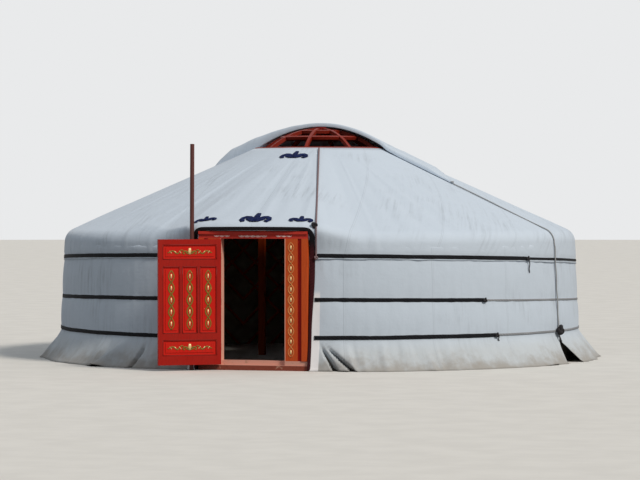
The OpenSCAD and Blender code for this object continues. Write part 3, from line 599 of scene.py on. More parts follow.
def hair_rope_finish(name, code, worn):
    """Rope twisted from horse and yak hair: dark strands with paler hairs standing out."""
    finish, tree, skin, place = start(name, Roughness=0.9)
    own = add(tree, "TexCoord", out="UV")
    along = add(tree, "Mapping", {"Vector": own, "Scale": (1.0, 0.25, 1.0)})
    hairs = add(tree, "TexNoise", {"Vector": along, "Scale": per(5), "Detail": 4, "Roughness": 0.7})
    fade = add(tree, "TexNoise", {"Vector": place, "Scale": per(180), "Detail": 3, "Roughness": 0.55})
    colour = over(tree, code, worn, hairs, 0.45, 0.72, 0.0, 0.75)
    colour = over(tree, colour, worn, fade, 0.5, 0.75, 0.0, 0.3)
    coat(tree, skin, colour, hairs, 1.2, 0.7)
    return finish


def patchy_finish(name, grain, detail, limits, colours, relief, **shader):
    """A finish with patches of a grain in mm. detail is the noise's detail and roughness, limits are where a
    patch starts and ends, and relief is the height of the patches in mm and how far it shows."""
    finish, tree, skin, place = start(name, **shader)
    spots = add(tree, "TexNoise", {"Vector": place, "Scale": per(grain), "Detail": detail[0],
                                   "Roughness": detail[1]})
    colour = over(tree, colours[0], colours[1], spots, *limits)
    coat(tree, skin, colour, spots, relief[0], relief[1])
    return finish, tree, skin, spots


def gilt_finish(settings):
    """Gold bronze paint over a pale ground: half metal, brushed thin, dull where it has rubbed."""
    return patchy_finish("gold bronze paint", 22, (5, 0.6), (0.4, 0.75, 0.0, 0.7),
                         (settings.gold, "#c08a4a"), (0.6, 0.4), Roughness=0.42, Metallic=0.25)[0]


def applique_finish(settings):
    """Blue cotton cloth sewn on the canvas: faded by the sun, a plain weave 6 mm coarse."""
    finish, tree, skin, place = start("blue cotton applique", Roughness=0.88, Specular_IOR_Level=0.15)
    fade = add(tree, "TexNoise", {"Vector": place, "Scale": per(40), "Detail": 5, "Roughness": 0.6})
    colour = over(tree, settings.applique, "#33498a", fade, 0.45, 0.75, 0.0, 0.3)
    weave = add(tree, "TexNoise", {"Vector": place, "Scale": per(6), "Detail": 3, "Roughness": 0.6})
    coat(tree, skin, colour, weave, 0.8, 0.5)
    return finish


def iron_finish():
    """Forged iron left to weather: dark scale with brown rust in patches, which is rougher."""
    finish, tree, skin, scale = patchy_finish(
        "forged iron", 12, (6, 0.65), (0.5, 0.68), ("#4c4a4a", "#6b3d24"), (0.7, 0.5),
        Roughness=0.6, Metallic=0.85)
    rough = add(tree, "MapRange", (scale, 0.45, 0.7, 0.45, 0.85), **SMOOTH)
    tree.links.new(rough, skin["Roughness"])
    return finish


def leather_finish():
    """Rawhide lacing: pale brown, slightly waxy, with darker creases."""
    return patchy_finish("rawhide lacing", 8, (5, 0.65), (0.4, 0.7), ("#9a6b41", "#5b3a22"), (0.8, 0.5),
                         Roughness=0.55)[0]


# ---------------------------------------------------------------- cloth pieces

def wall_cloth(shape, canvas, t, f_up, f_down, slack):
    """Radius and height of the wall cloth. f_up runs from the eave (0) to the lower belt (1), f_down from
    there to the hem. slack is 0 where the cloth is drawn tight, beside the door."""
    top_z, low_z = shape.bend_z + 4, shape.form.skirt_top
    if f_down <= 0:
        z = top_z + (low_z - top_z) * f_up
        r = shape.cover_r(z)
        marks = [shape.bend_z + 25, shape.belt_z(0, t), shape.belt_z(1, t), shape.belt_z(2, t)]
        swell = 0.0
        for high, low in zip(marks, marks[1:]):
            if low < z < high:
                share = (high - z) / (high - low)
                swell = math.sin(math.pi * share) ** 0.8
        swell *= canvas.belly * (0.75 + 0.5 * waves(t, z, 700, 1.3))
        # gathers by the belts and slanting creases, but none under the roof cloth
        near = max(math.exp(-((z - b) / 90) ** 2) for b in marks[1:])
        gather = waves(t * 5, z * 0.9, 420, 5.2) * (0.35 + 0.65 * near)
        crease = abs(waves(t * 2.2, z * 0.6 + t * 6, 520, 8.8))
        wrinkles = canvas.wrinkle * (0.8 * gather + 0.9 * max(0, 0.35 - crease)) * (z < marks[0] - 30)
        return r + slack * max(0.0, swell + wrinkles) + 0.3, z
    top_r = shape.cover_r(low_z)
    f = f_down
    r = top_r + (shape.skirt_reach(t) - top_r) * f ** 1.35
    z = low_z * (1 - f)
    fold = waves(t * 3.2, 0, 520, 2.2) + 0.5 * waves(t * 8, z, 420, 6.4)
    lean = waves(t * 6, z * 2.5, 380, 9.1)
    r += slack * (f ** 0.7 * 24 * fold + math.sin(math.pi * min(f, 1)) * 9 * lean)
    r += 9 * smooth((f - 0.93) / 0.07)
    return r + 0.3, z


def pleat(t, centre, width):
    """A sharp pleat: rises slowly and drops back at once, or the other way round where width is negative."""
    x = (t - centre) / abs(width)
    x = 1 - x if width < 0 else x
    return smooth(x * 1.25) if 0 <= x <= 0.8 else (1 - smooth((x - 0.8) / 0.2) if 0.8 < x < 1 else 0.0)


class TENT_OT_wall_canvas(Operator):
    """Hangs the wall canvas in two widths on each side and spreads its hem on the ground"""
    bl_idname = "tent.wall_canvas"
    bl_label = "Wall canvas"

    def execute(self, context):
        scene = context.scene
        shape, canvas = Shape(scene.tent_form), scene.tent_canvas
        finish = scene.tent_finish["canvas"]
        rows_up, rows_down = 26, 14
        rows = rows_up + rows_down
        edge = math.degrees(math.asin((FRAME_HALF + 3) / shape.cover_r(1200)))

        def width(t0, t1, slant0, slant1, over, pulls):
            """A width of cloth between two turns. Its ends slant at the hem by slant0 and slant1 degrees, and
            over is how far its last edge lies over the next width, in mm. Each pull is a pleat of the skirt:
            its turn, its width, its height, its lift off the ground and its lean. A negative height is a
            slit, and a negative width turns the pleat round."""
            def place(u, v):
                row = (1 - v) * rows
                f_up, f_down = min(row / rows_up, 1), max(0.0, (row - rows_up) / rows_down)
                t = t0 + (t1 - t0) * u + f_down ** 0.9 * (slant0 * (1 - u) ** 14 + slant1 * u ** 14)
                aside = abs(((t + 180) % 360) - 180) - edge
                r, z = wall_cloth(shape, canvas, t, f_up, f_down, smooth((aside - 1.1) / 2.6))
                for centre, wide, high, lift, lean in pulls:
                    p = pleat(t, centre + lean * f_down, wide) * smooth(f_down * 1.6)
                    r += high * p * (f_down if high < 0 else 1)
                    z += lift * p * f_down
                r += over * smooth((u - 0.985) / 0.012)
                # the doubled edge beside the door is thicker
                r += 5 * smooth(max(0.0, 1 - aside / 0.9)) * (1 - 0.3 * f_down)
                down = (shape.bend_z - shape.form.skirt_top) * f_up + SKIRT_DOWN * f_down
                return turned(r, max(z, 4.0), t), (math.radians(t) * GIRTH_R * MM, -down * MM)
            return place

        sides = {
            "right": [
                (edge, 76.6, 0.0, -3.6, 5.0, [
                    (12.6, 8.0, 46, 14, 1.3), (13.2, -1.15, -210, 0, 3.3), (13.5, -1.25, -200, 0, 6.2),
                    (31.0, 5.0, 16, 6, 1.3), (60.0, 8.0, 22, 14, 1.3)]),
                (75.2, 180.0, 4.8, 0.0, 0.0, [
                    (77.6, 2.2, 30, 0, 2.6), (80.2, 3.0, 40, 0, 3.4), (84.4, 4.6, 46, 0, 2.0),
                    (97.0, 6.0, 30, 0, 1.3), (130.0, 5.0, 28, 0, 1.3), (158.0, 6.0, 34, 0, 1.3)]),
            ],
            "left": [
                (180.0, 262.0, 0.0, 1.2, 5.0, [
                    (196.0, 5.0, 30, 0, 1.3), (226.0, 6.0, 28, 0, 1.3), (246.0, 5.0, 36, 0, 1.3)]),
                (260.5, 360 - edge, -0.8, 0.0, 0.0, [
                    (285.0, 6.0, 30, 8, 1.3), (319.0, 5.5, 40, 18, 1.3), (328.5, -4.5, 62, 30, -4.0),
                    (335.4, -1.2, -150, 0, -1.7)]),
            ],
        }
        for side, widths in sides.items():
            bm = bmesh.new()
            for t0, t1, slant0, slant1, over, pulls in widths:
                columns = round((t1 - t0) / (0.25 if t0 < 50 else 0.36))
                add_cloth(bm, columns, rows, width(t0, t1, slant0, slant1, over, pulls))
            piece = new_object("wall_canvas_" + side, bm, finish)
            thicken(piece, 4 * MM)
            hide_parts("wall_cover_" + side, "skirt_front_" + side, "skirt_back_" + side)
        return {"FINISHED"}


class TENT_OT_roof_canvas(Operator):
    """Lays the roof canvas over the felt, lifts it over the door and gathers it under the upper belt"""
    bl_idname = "tent.roof_canvas"
    bl_label = "Roof canvas"

    def execute(self, context):
        scene = context.scene
        shape, canvas = Shape(scene.tent_form), scene.tent_canvas
        corner, pole_turn = 11.85, 5.58  # turns of the lifted edge's corners and between two poles
        turns, t = [], -180.0
        while t < 180 - 1e-6:
            turns.append(t)
            fine = abs(abs(t) - corner) < 1.2
            t += 0.15 if fine else (0.4 if abs(t) < 26 else 0.54)
        turns.append(180.0)
        columns = len(turns) - 1
        slope_rows, bend_rows, fall_rows = 30, 9, 9
        rows = slope_rows + bend_rows + fall_rows

        def place(u, v):
            t = turns[round(u * columns)]
            row = (1 - v) * rows
            far, eave = shape.valance(t), shape.slope + shape.round
            beside = smooth((abs(t) - corner + 0.35) / 0.7)
            if row <= slope_rows:
                s = shape.slope * row / slope_rows
            elif row <= slope_rows + bend_rows:
                s = shape.slope + shape.round * (row - slope_rows) / bend_rows
            else:
                s = eave + (far - eave) * (row - slope_rows - bend_rows) / fall_rows
            if beside < 1 and row > slope_rows:
                below = (row - slope_rows) / (bend_rows + fall_rows)
                near = shape.slope + (shape.door_edge(t) - shape.slope) * below
                s = near + (s - near) * beside
            # the cloth sags between the poles, wrinkles and creases
            sag = 0.5 - 0.5 * math.cos(2 * math.pi * ((t + 180) / pole_turn))
            rise = 1 + 4 * sag * smooth((s - 300) / 900) * (1 - smooth((s - shape.slope + 250) / 250))
            rise += canvas.wrinkle * 1.1 * max(0, waves(t, s, 640, 3.3)) * smooth((s - 60) / 300)
            ridge = abs(waves(t * 3.0, s * 0.25, 760, 7.7))
            rise += canvas.wrinkle * 0.9 * max(0, 0.22 - ridge) * 4 * smooth((s - 200) / 500)
            # its edge gathers under the upper belt, which holds it tight
            hang = smooth((s - shape.slope - 20) / 220)
            gather = 0.5 + 0.5 * waves(t * 6, s * 0.35, 480, 1.9)
            rise += hang * canvas.wrinkle * 1.3 * gather * beside
            belt = shape.belt_z(0, t)
            z = shape.roof(s)[1]
            if hang > 0.5 and beside > 0.5:
                rise *= 1 - math.exp(-((z - belt) / 34) ** 2)
            if hang > 0.5 and z < belt - 24:
                rise += 9 * (0.5 + 0.5 * waves(t * 4, 0, 300, 5.5))
            across = math.radians(t) * GIRTH_R * (0.35 + 0.65 * s / far)
            return shape.on_roof(s, t, rise), (across * MM, -s * MM)

        bm = bmesh.new()
        made = add_cloth(bm, columns, rows, place)
        bmesh.ops.remove_doubles(bm, verts=[v for v in made if v.is_boundary], dist=2e-5)
        piece = new_object("roof_canvas", bm, scene.tent_finish["canvas"])
        thicken(piece, 4 * MM)
        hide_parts("roof_cover_door", "roof_cover_main")
        return {"FINISHED"}


class TENT_OT_crown_cover(Operator):
    """Folds the square crown cover back over the rear half of the crown"""
    bl_idname = "tent.crown_cover"
    bl_label = "Crown cover"

    def execute(self, context):
        scene = context.scene
        shape = Shape(scene.tent_form)
        a = math.radians(scene.tent_form.fold_turn)
        along, behind = Vector((math.sin(a), -math.cos(a), 0)), Vector((math.cos(a), math.sin(a), 0))
        # the cover spans the wheel in a bow and runs straight on to the roof at its corners
        reach, apex = CORNER_R - 6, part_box("crown_hub")[1].z / MM + 5
        low = shape.roof(0)[1] - (CORNER_R - shape.roof(0)[0]) * shape.tan + 4
        slope = 0.49
        bend = 2 * (CORNER_R - (apex - low) / slope)
        # place along the fold and half the height of the bunched cloth there, mm
        bunch = ((-1500, 8), (-1450, 20), (-1330, 66), (-1190, 89), (-1030, 83), (-840, 72), (-650, 53),
                 (-460, 35), (-250, 25), (0, 21), (300, 21), (800, 23), (1350, 24), (1500, 12))
        layer = 0.44  # share of the cloth in each layer; the rest turns round the fold

        def under(r):
            """Height of the cover's underside at a radius."""
            return apex - slope * r * r / (2 * bend) if r < bend else low + slope * (CORNER_R - r)

        def half_height(across):
            """Half the height of the bunched cloth along the fold."""
            for (a0, h0), (a1, h1) in zip(bunch, bunch[1:]):
                if across <= a1:
                    h = h0 + (h1 - h0) * max(0.0, (across - a0) / (a1 - a0))
                    break
            else:
                h = bunch[-1][1]
            return h * (1 + 0.05 * noise.noise(Vector((across / 160, 0, 4.4))))

        def place(u, v):
            # the upper layer runs from its back corner to the fold, the lower layer back again
            fold = min(max((v - layer) / (1 - 2 * layer), 0), 1)
            depth = (max(layer - v, v - 1 + layer, 0.0) / layer) ** 1.7
            across = (2 * u - 1) * (1 - depth) * reach
            half = half_height(across)
            back = half * (1 - math.sin(math.pi / 2 * fold)) + depth * (reach - half if v < layer else reach)
            r = math.hypot(across, back)
            # pulled lines from the corners over the upper layer
            pull = noise.noise(Vector((across / 900, back / 200, 2.0)))
            ripple = noise.noise(Vector((across / 300, back / 240, 7.0)))
            crease = max(0.0, 0.2 - abs(noise.noise(Vector((across / 420, back / 150, 11.0)))))
            if v < layer:
                x = (back - half) / (1.6 * half + 1)
                relief = (5 * pull + 4 * ripple + 26 * crease) * smooth(r / 200)
                flat = 18 + relief * (1 - smooth((r - 1450) / 180))
                lift = flat + (2 * half - flat) * math.sqrt(max(0.0, 1 - x * x)) if x < 1 else flat
            elif fold < 1:
                lift = 2 * half * math.cos(math.pi / 2 * fold)
            else:
                lift = 0.0
            # right of the crown the fold sinks into the room under it, down to the roof
            if across > 0:
                room = max(0.0, min(2 * half - 20, (slope - shape.tan) * (CORNER_R - r) - 3))
                lift -= room * smooth((r - 745) / 120) * (1 - smooth((back - half) / (3 * half)))
            point = (along * across + behind * back) * MM
            point.z = (under(r) + 3 + lift) * MM
            return point, (across * MM + 3, (0.5 - v) * 3.3)

        bm = bmesh.new()
        add_cloth(bm, 132, 116, place)
        bmesh.ops.remove_doubles(bm, verts=list(bm.verts), dist=3e-4)
        piece = new_object("crown_cover", bm, scene.tent_finish["canvas"])
        thicken(piece, 3 * MM)
        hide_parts("crown_flap")
        return {"FINISHED"}


class TENT_OT_door_binding(Operator):
    """Binds the canvas edge with dark cloth down both sides of the door and over the lintel"""
    bl_idname = "tent.door_binding"
    bl_label = "Door binding"

    def execute(self, context):
        scene = context.scene
        shape = Shape(scene.tent_form)

        def beside(x, r, z):
            return Vector((x, -math.sqrt(max(r * r - x * x, 1)), z)) * MM

        def edge_point(x, z, off):
            """A point on the outermost cloth beside the door, or off it."""
            if z < shape.form.skirt_top:
                f = 1 - z / shape.form.skirt_top
                top = shape.cover_r(shape.form.skirt_top)
                return beside(x, top + (shape.skirt_reach(12) - top) * f ** 1.35 + 7 + off, z)
            # it steps out on to the roof canvas, and follows that where it is lifted
            if z <= shape.belt_top:
                return beside(x, shape.cover_r(z) + 6.5 + 7.5 * smooth((z - 1128) / 24) + off, z)
            r, z = shape.lifted(shape.cover_r(z) + 14, z, math.degrees(math.asin(x / shape.form.wall_out)))
            return beside(x, r + off, z)

        def arc_point(t, angle, off):
            """A point on the lifted bend of the roof canvas, at an angle up from its foot."""
            a = math.radians(angle)
            bend = shape.form.eave_bend
            r, z = shape.lifted(shape.bend_r + bend * math.cos(a), shape.bend_z + bend * math.sin(a), t)
            return turned(r + (off + 6) * math.cos(a), z + (off + 6) * math.sin(a), t)

        # up the left side, round the corner, over the top, and down the other side the same way back
        up = [("side", -1, 3 + (1282 - 3) * i / 26) for i in range(27)]
        up += [("corner", -1, i / 6) for i in range(7)]
        path = up + [("top", 0, -10.4 + 20.8 * i / 36) for i in range(1, 36)]
        path += [(kind, 1, value) for kind, _, value in reversed(up)]

        def pair(j):
            """The inner and outer edge of the band at a step."""
            kind, sign, value = path[j]
            if kind == "side":
                # the band is as wide as the whole dark line beside the jamb: partly the edging cloth, partly
                # a painted shadow of the gap between frame and canvas
                outer = 650 - 28 * smooth((1000 - value) / 620)
                inner = FRAME_HALF + 3.5
                return [lambda off, x=sign * x, z=value: edge_point(x, z, off) for x in (inner, outer)]
            if kind == "corner":
                # the band turns from upright to level round the frame's corner
                ends = ((sign * (11.78 - 0.9 * value ** 2), 0.5 + 12.5 * min(1, value * 1.3)),
                        (sign * (13.1 - 2.2 * value ** 2), 2 + 26.5 * smooth(value)))
            else:
                low = 13.8 + 1.7 * (1 - (value / 11.2) ** 2)
                ends = (value, low), (value, low + 14.5)
            return [lambda off, t=t, a=a: arc_point(t, a, off) for t, a in ends]

        # the band's section: share of its width and of its thickness
        corners = [(0.0, 0.0), (0.12, 1.0), (0.5, 1.25), (0.88, 1.0), (1.0, 0.0), (0.5, -0.15)]
        pairs = [pair(j) for j in range(len(path))]

        def point(j, k):
            inner, outer = pairs[j]
            share, high = corners[k]
            off = high * 7 + (0.8 * noise.noise(Vector((j * 0.7, share * 3, 1.0))) if high > 0.5 else 0)
            return inner(off).lerp(outer(off), share)

        bm = bmesh.new()
        add_skin(bm, len(path), len(corners), point)
        piece = new_object("door_binding", bm, scene.tent_finish["binding"])
        rounded = piece.modifiers.new("Soft edge", "SUBSURF")
        rounded.levels = rounded.render_levels = 1
        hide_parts("hem_over_door", "hem_beside_door")
        return {"FINISHED"}


class TENT_OT_belts(Operator):
    """Winds the three hair belts round the wall, with their knots, thin ends and tails"""
    bl_idname = "tent.belts"
    bl_label = "Belts"

    def execute(self, context):
        scene = context.scene
        shape, cords = Shape(scene.tent_form), scene.tent_cords
        dark = bmesh.new()
        # the webbing's section: share of its half height and of its thickness
        corners = [(-1, 0.06), (-0.9, 0.8), (-0.45, 1.0), (0, 0.92), (0.45, 1.0), (0.9, 0.8), (1, 0.06),
                   (0, 0)]
        # turn of the knots at the back, and half the webbing's height
        back_t, half_belt = 196.0, 21
        # each belt: name, turn where the webbing ends, half height of its worn end, length of its tail
        belts = ("upper", 64.0, 13.0, 150), ("middle", 50.5, 11.0, 0), ("lower", 53.5, 12.0, 60)
        for i, (name, knot_t, worn, tail) in enumerate(belts):
            inner = STEP if name == "upper" else 0.0
            start_t = math.degrees(math.asin((FRAME_HALF + 63) / shape.cover_r(shape.belt_front[i])))

            def centre(t):
                """Radius and height of the belt's middle at a turn."""
                z = shape.belt_z(i, t) + 3.0 * waves(t, 0, 520, 11.0 + i)
                return shape.cover_r(z) + inner, z

            def add_webbing(bm, t0, t1, half):
                """A stretch of webbing between two turns; half is half its height."""
                steps = round((t1 - t0) / 0.75)

                def point(j, k):
                    t = t0 + (t1 - t0) * j / steps
                    up, out = corners[k]
                    z = centre(t)[1] + up * half * (1 + 0.07 * waves(t * 3, 0, 300, 2.0 + i))
                    return turned(shape.cover_r(z) + inner + 1.2 + 8.5 * out, z, t)
                add_skin(bm, steps + 1, len(corners), point)

            whole, thin = bmesh.new(), bmesh.new()
            add_webbing(whole, start_t, knot_t, half_belt)
            add_webbing(whole, back_t, 360 - start_t, half_belt)
            add_webbing(thin, knot_t + 0.05, back_t - 0.05, worn)
            for bm, suffix, finish in ((whole, "_webbing", "belt"),
                                       (thin, "_end", "belt" if name == "upper" else "belt_end")):
                piece = new_object("belt_" + name + suffix, bm, scene.tent_finish[finish])
                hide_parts("belt_" + name)
            for t in (knot_t, back_t):
                r, z = centre(t)
                add_knot(dark, turned(r + 24, z, t), 19 * MM, 10 * MM, turned(1, 0, t).normalized())
            if tail:
                r, z = centre(knot_t)
                path = [turned(r + 22, z - 6, knot_t + 0.15), turned(r + 30, z - 0.36 * tail, knot_t + 0.45),
                        turned(r + 26, z - 0.7 * tail, knot_t + 0.2),
                        turned(shape.cover_r(z - tail) + 20, z - tail, knot_t + 0.55)]
                add_rope(dark, rounded_path(path), 6 * MM, cords.lay * MM)
        knots = new_object("belt_knots", dark, scene.tent_finish["knot"])
        return {"FINISHED"}


class TENT_OT_ropes(Operator):
    """Lays the crown cover's ropes down the roof and ties them to the belts"""
    bl_idname = "tent.ropes"
    bl_label = "Ropes"

    def execute(self, context):
        scene = context.scene
        shape, cords = Shape(scene.tent_form), scene.tent_cords
        thick, lay = cords.rope_r * MM, cords.lay * MM
        off, out, foot = cords.rope_r + 1, 24, 371
        dark = bmesh.new()
        fold = shape.form.fold_turn
        head = (CORNER_R - 10 - shape.roof(0)[0]) / shape.cos
        for name, t in (("right", fold), ("left", fold + 180), ("back", fold + 90)):
            bm = bmesh.new()
            path = [shape.on_roof(head + (shape.slope - head) * k / 6, t, off + 3 + 2 * math.sin(k))
                    for k in range(6)]
            path += [shape.on_roof(shape.slope + shape.round * k / 6, t, off + 4) for k in range(7)]
            path += [turned(shape.cover_r(z) + out + 3 * math.sin(z), z, t) for z in range(1240, foot, -90)]
            path.append(turned(shape.cover_r(foot) + out, foot, t))
            add_rope(bm, path, thick, lay)
            face = turned(1, 0, t).normalized()
            add_knot(dark, turned(shape.cover_r(352) + 44, 350, t), 42 * MM, 21 * MM, face)
            tail = [turned(shape.cover_r(340) + 30, 338, t - 0.2),
                    turned(shape.cover_r(300) + 42, 290, t - 0.7),
                    turned(shape.cover_r(300) + 66, 225, t - 0.4)]
            add_rope(dark, rounded_path(tail), thick, lay)
            add_knot(bm, shape.on_roof(head - 14, t, 24), 15 * MM, 7 * MM, Vector((0, 0, 1)))
            piece = new_object("rope_" + name, bm, scene.tent_finish["rope"])
            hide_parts("flap_rope_" + name)
        # the rope that pulls the crown cover over, beside the door
        t = 13.2
        bm = bmesh.new()
        path = [shape.on_roof(60 + (shape.slope - 60) * k / 8, t, off + 6) for k in range(9)]
        path += [shape.on_roof(shape.slope + shape.round * k / 6, t, off + 7) for k in range(1, 7)]
        path += [turned(shape.cover_r(z) + out + STEP, z, t) for z in (1240, 1205, 1172)]
        add_rope(bm, path, 1.3 * thick, lay)
        at_eave = shape.on_roof(shape.slope + 80, t - 0.35, off + 14)
        add_knot(dark, at_eave, 24 * MM, 13 * MM, Vector((0, -1, 0)))
        at_belt = turned(shape.cover_r(1165) + 34, 1160, t)
        add_knot(bm, at_belt, 16 * MM, 8 * MM, turned(1, 0, t).normalized())
        piece = new_object("rope_pull", bm, scene.tent_finish["pull_rope"])
        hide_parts("flap_pull_rope")
        new_object("rope_knots", dark, scene.tent_finish["knot"])
        return {"FINISHED"}


def winged_scroll(size):
    """Strokes of the roof ornament, as wide as size: a bud between two wings whose tips curl under."""
    strokes = [([(0, -0.2 * size), (0, 0.0), (0, 0.16 * size), (0, 0.34 * size)], 0.085 * size)]
    for hand in (1, -1):
        wing = [(0, -0.12), (0.12, -0.02), (0.24, 0.06), (0.36, 0.07), (0.46, 0.0), (0.48, -0.1),
                (0.42, -0.17), (0.34, -0.15)]
        strokes.append(([(hand * a * size, b * size) for a, b in wing], 0.07 * size))
        under = [(0, -0.16), (0.12, -0.14), (0.24, -0.08), (0.31, -0.03)]
        strokes.append(([(hand * a * size, b * size) for a, b in under], 0.06 * size))
    return strokes


def chain(length, pitch, swing):
    """Strokes of an upright chain ornament centred on its middle: two crossing waves and a bud in each
    loop."""
    strokes, loops = [], max(1, round(length / pitch))
    pitch = length / loops
    steps = loops * 8
    for hand in (1, -1):
        wave = [(hand * swing * math.sin(math.tau * i / 16), length * (i / steps - 0.5))
                for i in range(steps + 1)]
        strokes.append((wave, 0.2 * swing))
    for i in range(loops):
        z = pitch * (i + 0.5) - length / 2
        strokes.append(([(0, z - 0.2 * pitch), (0, z), (0, z + 0.2 * pitch)], 0.3 * swing))
    return strokes


def add_stroke(bm, points, width, to_surface, rise, tapered=True):
    """Adds a painted stroke in low relief, tapered or with square ends. to_surface(a, b, h) maps ornament
    coordinates in mm to a point."""
    n = len(points)
    corners = [(-1, 0.0), (-0.55, 1.0), (0.55, 1.0), (1, 0.0)]

    def point(j, k):
        a, b = points[j]
        before, after = points[max(j - 1, 0)], points[min(j + 1, n - 1)]
        dx, dy = after[0] - before[0], after[1] - before[1]
        run = math.hypot(dx, dy) or 1.0
        across, high = corners[k]
        w = width * across
        if tapered:
            w *= 0.35 + 0.65 * math.sin(math.pi * min(max((j + 0.6) / n, 0.08), 0.92)) ** 0.5
        return to_surface(a - dy / run * w, b + dx / run * w, high * rise - 1.2 * (1 - high))
    add_skin(bm, n, len(corners), point)


class TENT_OT_roof_ornament(Operator):
    """Sews four blue ornaments on the roof, one below the crown and three over the door"""
    bl_idname = "tent.roof_ornament"
    bl_label = "Roof ornament"

    def execute(self, context):
        scene = context.scene
        shape = Shape(scene.tent_form)
        bm = bmesh.new()
        # each: turn, length down the roof, width, height share, tilt
        for turn, s, wide, high, tilt in ((-2.5, 262, 280, 1.3, 0), (0.1, 2150, 300, 1.35, 0),
                                          (-11.3, 2180, 215, 1.0, 14), (10.0, 2180, 225, 1.1, -4)):
            tilted = Matrix.Rotation(math.radians(tilt), 2)

            def to_roof(a, b, h):
                x, y = tilted @ Vector((a, b * high))
                return shape.on_roof(s - y, turn + math.degrees(x / shape.roof(s)[0]), h + 10)
            for points, width in winged_scroll(wide):
                add_stroke(bm, points, 1.35 * width, to_roof, 2.5)
        piece = new_object("roof_ornament", bm, scene.tent_finish["applique"])
        return {"FINISHED"}


class TENT_OT_door_ornament(Operator):
    """Paints buds, scrolls, chains and lines on the leaf, the jambs and the lintel, in low relief"""
    bl_idname = "tent.door_ornament"
    bl_label = "Door ornament"

    def execute(self, context):
        scene = context.scene
        # the leaf as it hangs shut, mm: its face, width, thickness, stiles, rails and panels from the top
        front, relief = -2861.2, 2.4
        half_door, stile, half_muntin, leaf_t = 340, 61, 20, 36
        low, high = (corner.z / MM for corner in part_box("leaf_frame"))
        rails, panels = (63, 90, 85, 105), (135, 143)
        side = half_door - stile
        third = 2 * side / 3
        columns = [(-side, third - side - half_muntin), (half_muntin - third / 2, third / 2 - half_muntin),
                   (side - third + half_muntin, side)]
        top_panel = high - rails[0] - panels[0] / 2
        low_panel = low + rails[3] + panels[1] / 2
        mid_low, mid_high = low + rails[3] + panels[1] + rails[2], high - rails[0] - panels[0] - rails[1]
        hinge = Vector((-half_door, front - 9, 0)) * MM
        opened = Matrix.Rotation(math.radians(-OPEN_ANGLE), 4, "Z")
        swing = Matrix.Translation(hinge) @ opened @ Matrix.Translation(-hinge)

        def on_leaf(cx, cz, face, sunk):
            """Lays strokes round a centre on the leaf's inner (1) or outer (-1) face, sunk below it."""
            y = front - sunk + leaf_t if face > 0 else front + sunk
            return lambda a, b, h: swing @ (Vector((cx + a, y + face * h, cz + b)) * MM)

        gilt, scrolls, lines = bmesh.new(), bmesh.new(), bmesh.new()
        for face in (1, -1):
            for x0, x1 in columns:
                on_panel = on_leaf((x0 + x1) / 2, (mid_low + mid_high) / 2, face, 4)
                for k, (points, w) in enumerate(chain(mid_high - mid_low - 60, 126, 29)):
                    if k > 1:
                        add_stroke(gilt, points, 1.1 * w, on_panel, relief)
                    else:
                        add_stroke(scrolls, points, 1.7 * w, on_panel, relief)
            for z in (top_panel, low_panel):
                on_panel = on_leaf(0, z, face, 4)
                for k, (points, w) in enumerate(winged_scroll(150)):
                    flat = [(a, b * 0.8) for a, b in points]
                    if k > 0:
                        add_stroke(scrolls, flat, 0.8 * w, on_panel, relief)
                    else:
                        add_stroke(gilt, flat, 1.5 * w, on_panel, relief + 0.8)
                for hand in (1, -1):
                    vine = [(hand * (66 + 10 * i), 24 * math.sin(0.62 * i + 0.4) * (1 - i / 24))
                            for i in range(18)]
                    add_stroke(scrolls, vine, 8.0, on_panel, relief)
                    for x in (92, 142, 192):
                        leaf = [(hand * x, -14), (hand * (x + 8), 0), (hand * (x + 22), 12)]
                        add_stroke(gilt, leaf, 5.5, on_panel, relief)
            # dark lines painted round the panels, on the leaf's rails and stiles
            fields = [(-side, side, z - tall / 2, z + tall / 2)
                      for z, tall in zip((top_panel, low_panel), panels)]
            fields += [(x0, x1, mid_low, mid_high) for x0, x1 in columns]
            for x0, x1, z0, z1 in fields:
                corners = [Vector(c) for c in ((x0 - 7, z0 - 7), (x1 + 7, z0 - 7), (x1 + 7, z1 + 7),
                                               (x0 - 7, z1 + 7))]
                for a, b in zip(corners, corners[1:] + corners[:1]):
                    run = [a.lerp(b, i / 6) for i in range(7)]
                    add_stroke(lines, run, 5.0, on_leaf(0, 0, face, 0), 0.8, False)
        for name, strokes, finish, slot in (("leaf_ornament", gilt, "gilt", "orange_wood"),
                                            ("leaf_scrolls", scrolls, "olive", "orange_wood"),
                                            ("leaf_lines", lines, "dark_red", "red_wood")):
            piece = new_object(name, strokes, scene.tent_finish[finish], "door_leaf")

        # middle of a jamb's strip, of its height and of the lintel's, and how far the lintel is set back
        strip_x, jamb_z, lintel_z, set_back = 405, 728, 1387, 5.6
        gilt, amber, pink = bmesh.new(), bmesh.new(), bmesh.new()
        for x in (strip_x, -strip_x):
            for k, (points, w) in enumerate(chain(1180, 112, 30)):
                add_stroke(gilt if k > 1 else amber, points, w * 1.3,
                           lambda a, b, h: Vector((x + a, front - h, jamb_z + b)) * MM, relief)
        # the lintel's pale ornament is painted near white: partly its own pale paint, partly a painted
        # highlight of sun on the lintel's middle
        for x, wide, pitch, wave in ((-330, 170, 56, 13), (0, 300, 60, 18), (330, 170, 56, 13)):
            for points, w in chain(wide, pitch, wave):
                add_stroke(pink, [(x + b, a) for a, b in points], w * 2.4,
                           lambda a, b, h: Vector((a, front + set_back - h, lintel_z + b)) * MM, relief)
        new_object("jamb_buds", gilt, scene.tent_finish["gilt"])
        new_object("jamb_ornament", amber, scene.tent_finish["amber"])
        new_object("lintel_ornament", pink, scene.tent_finish["pink"])
        return {"FINISHED"}


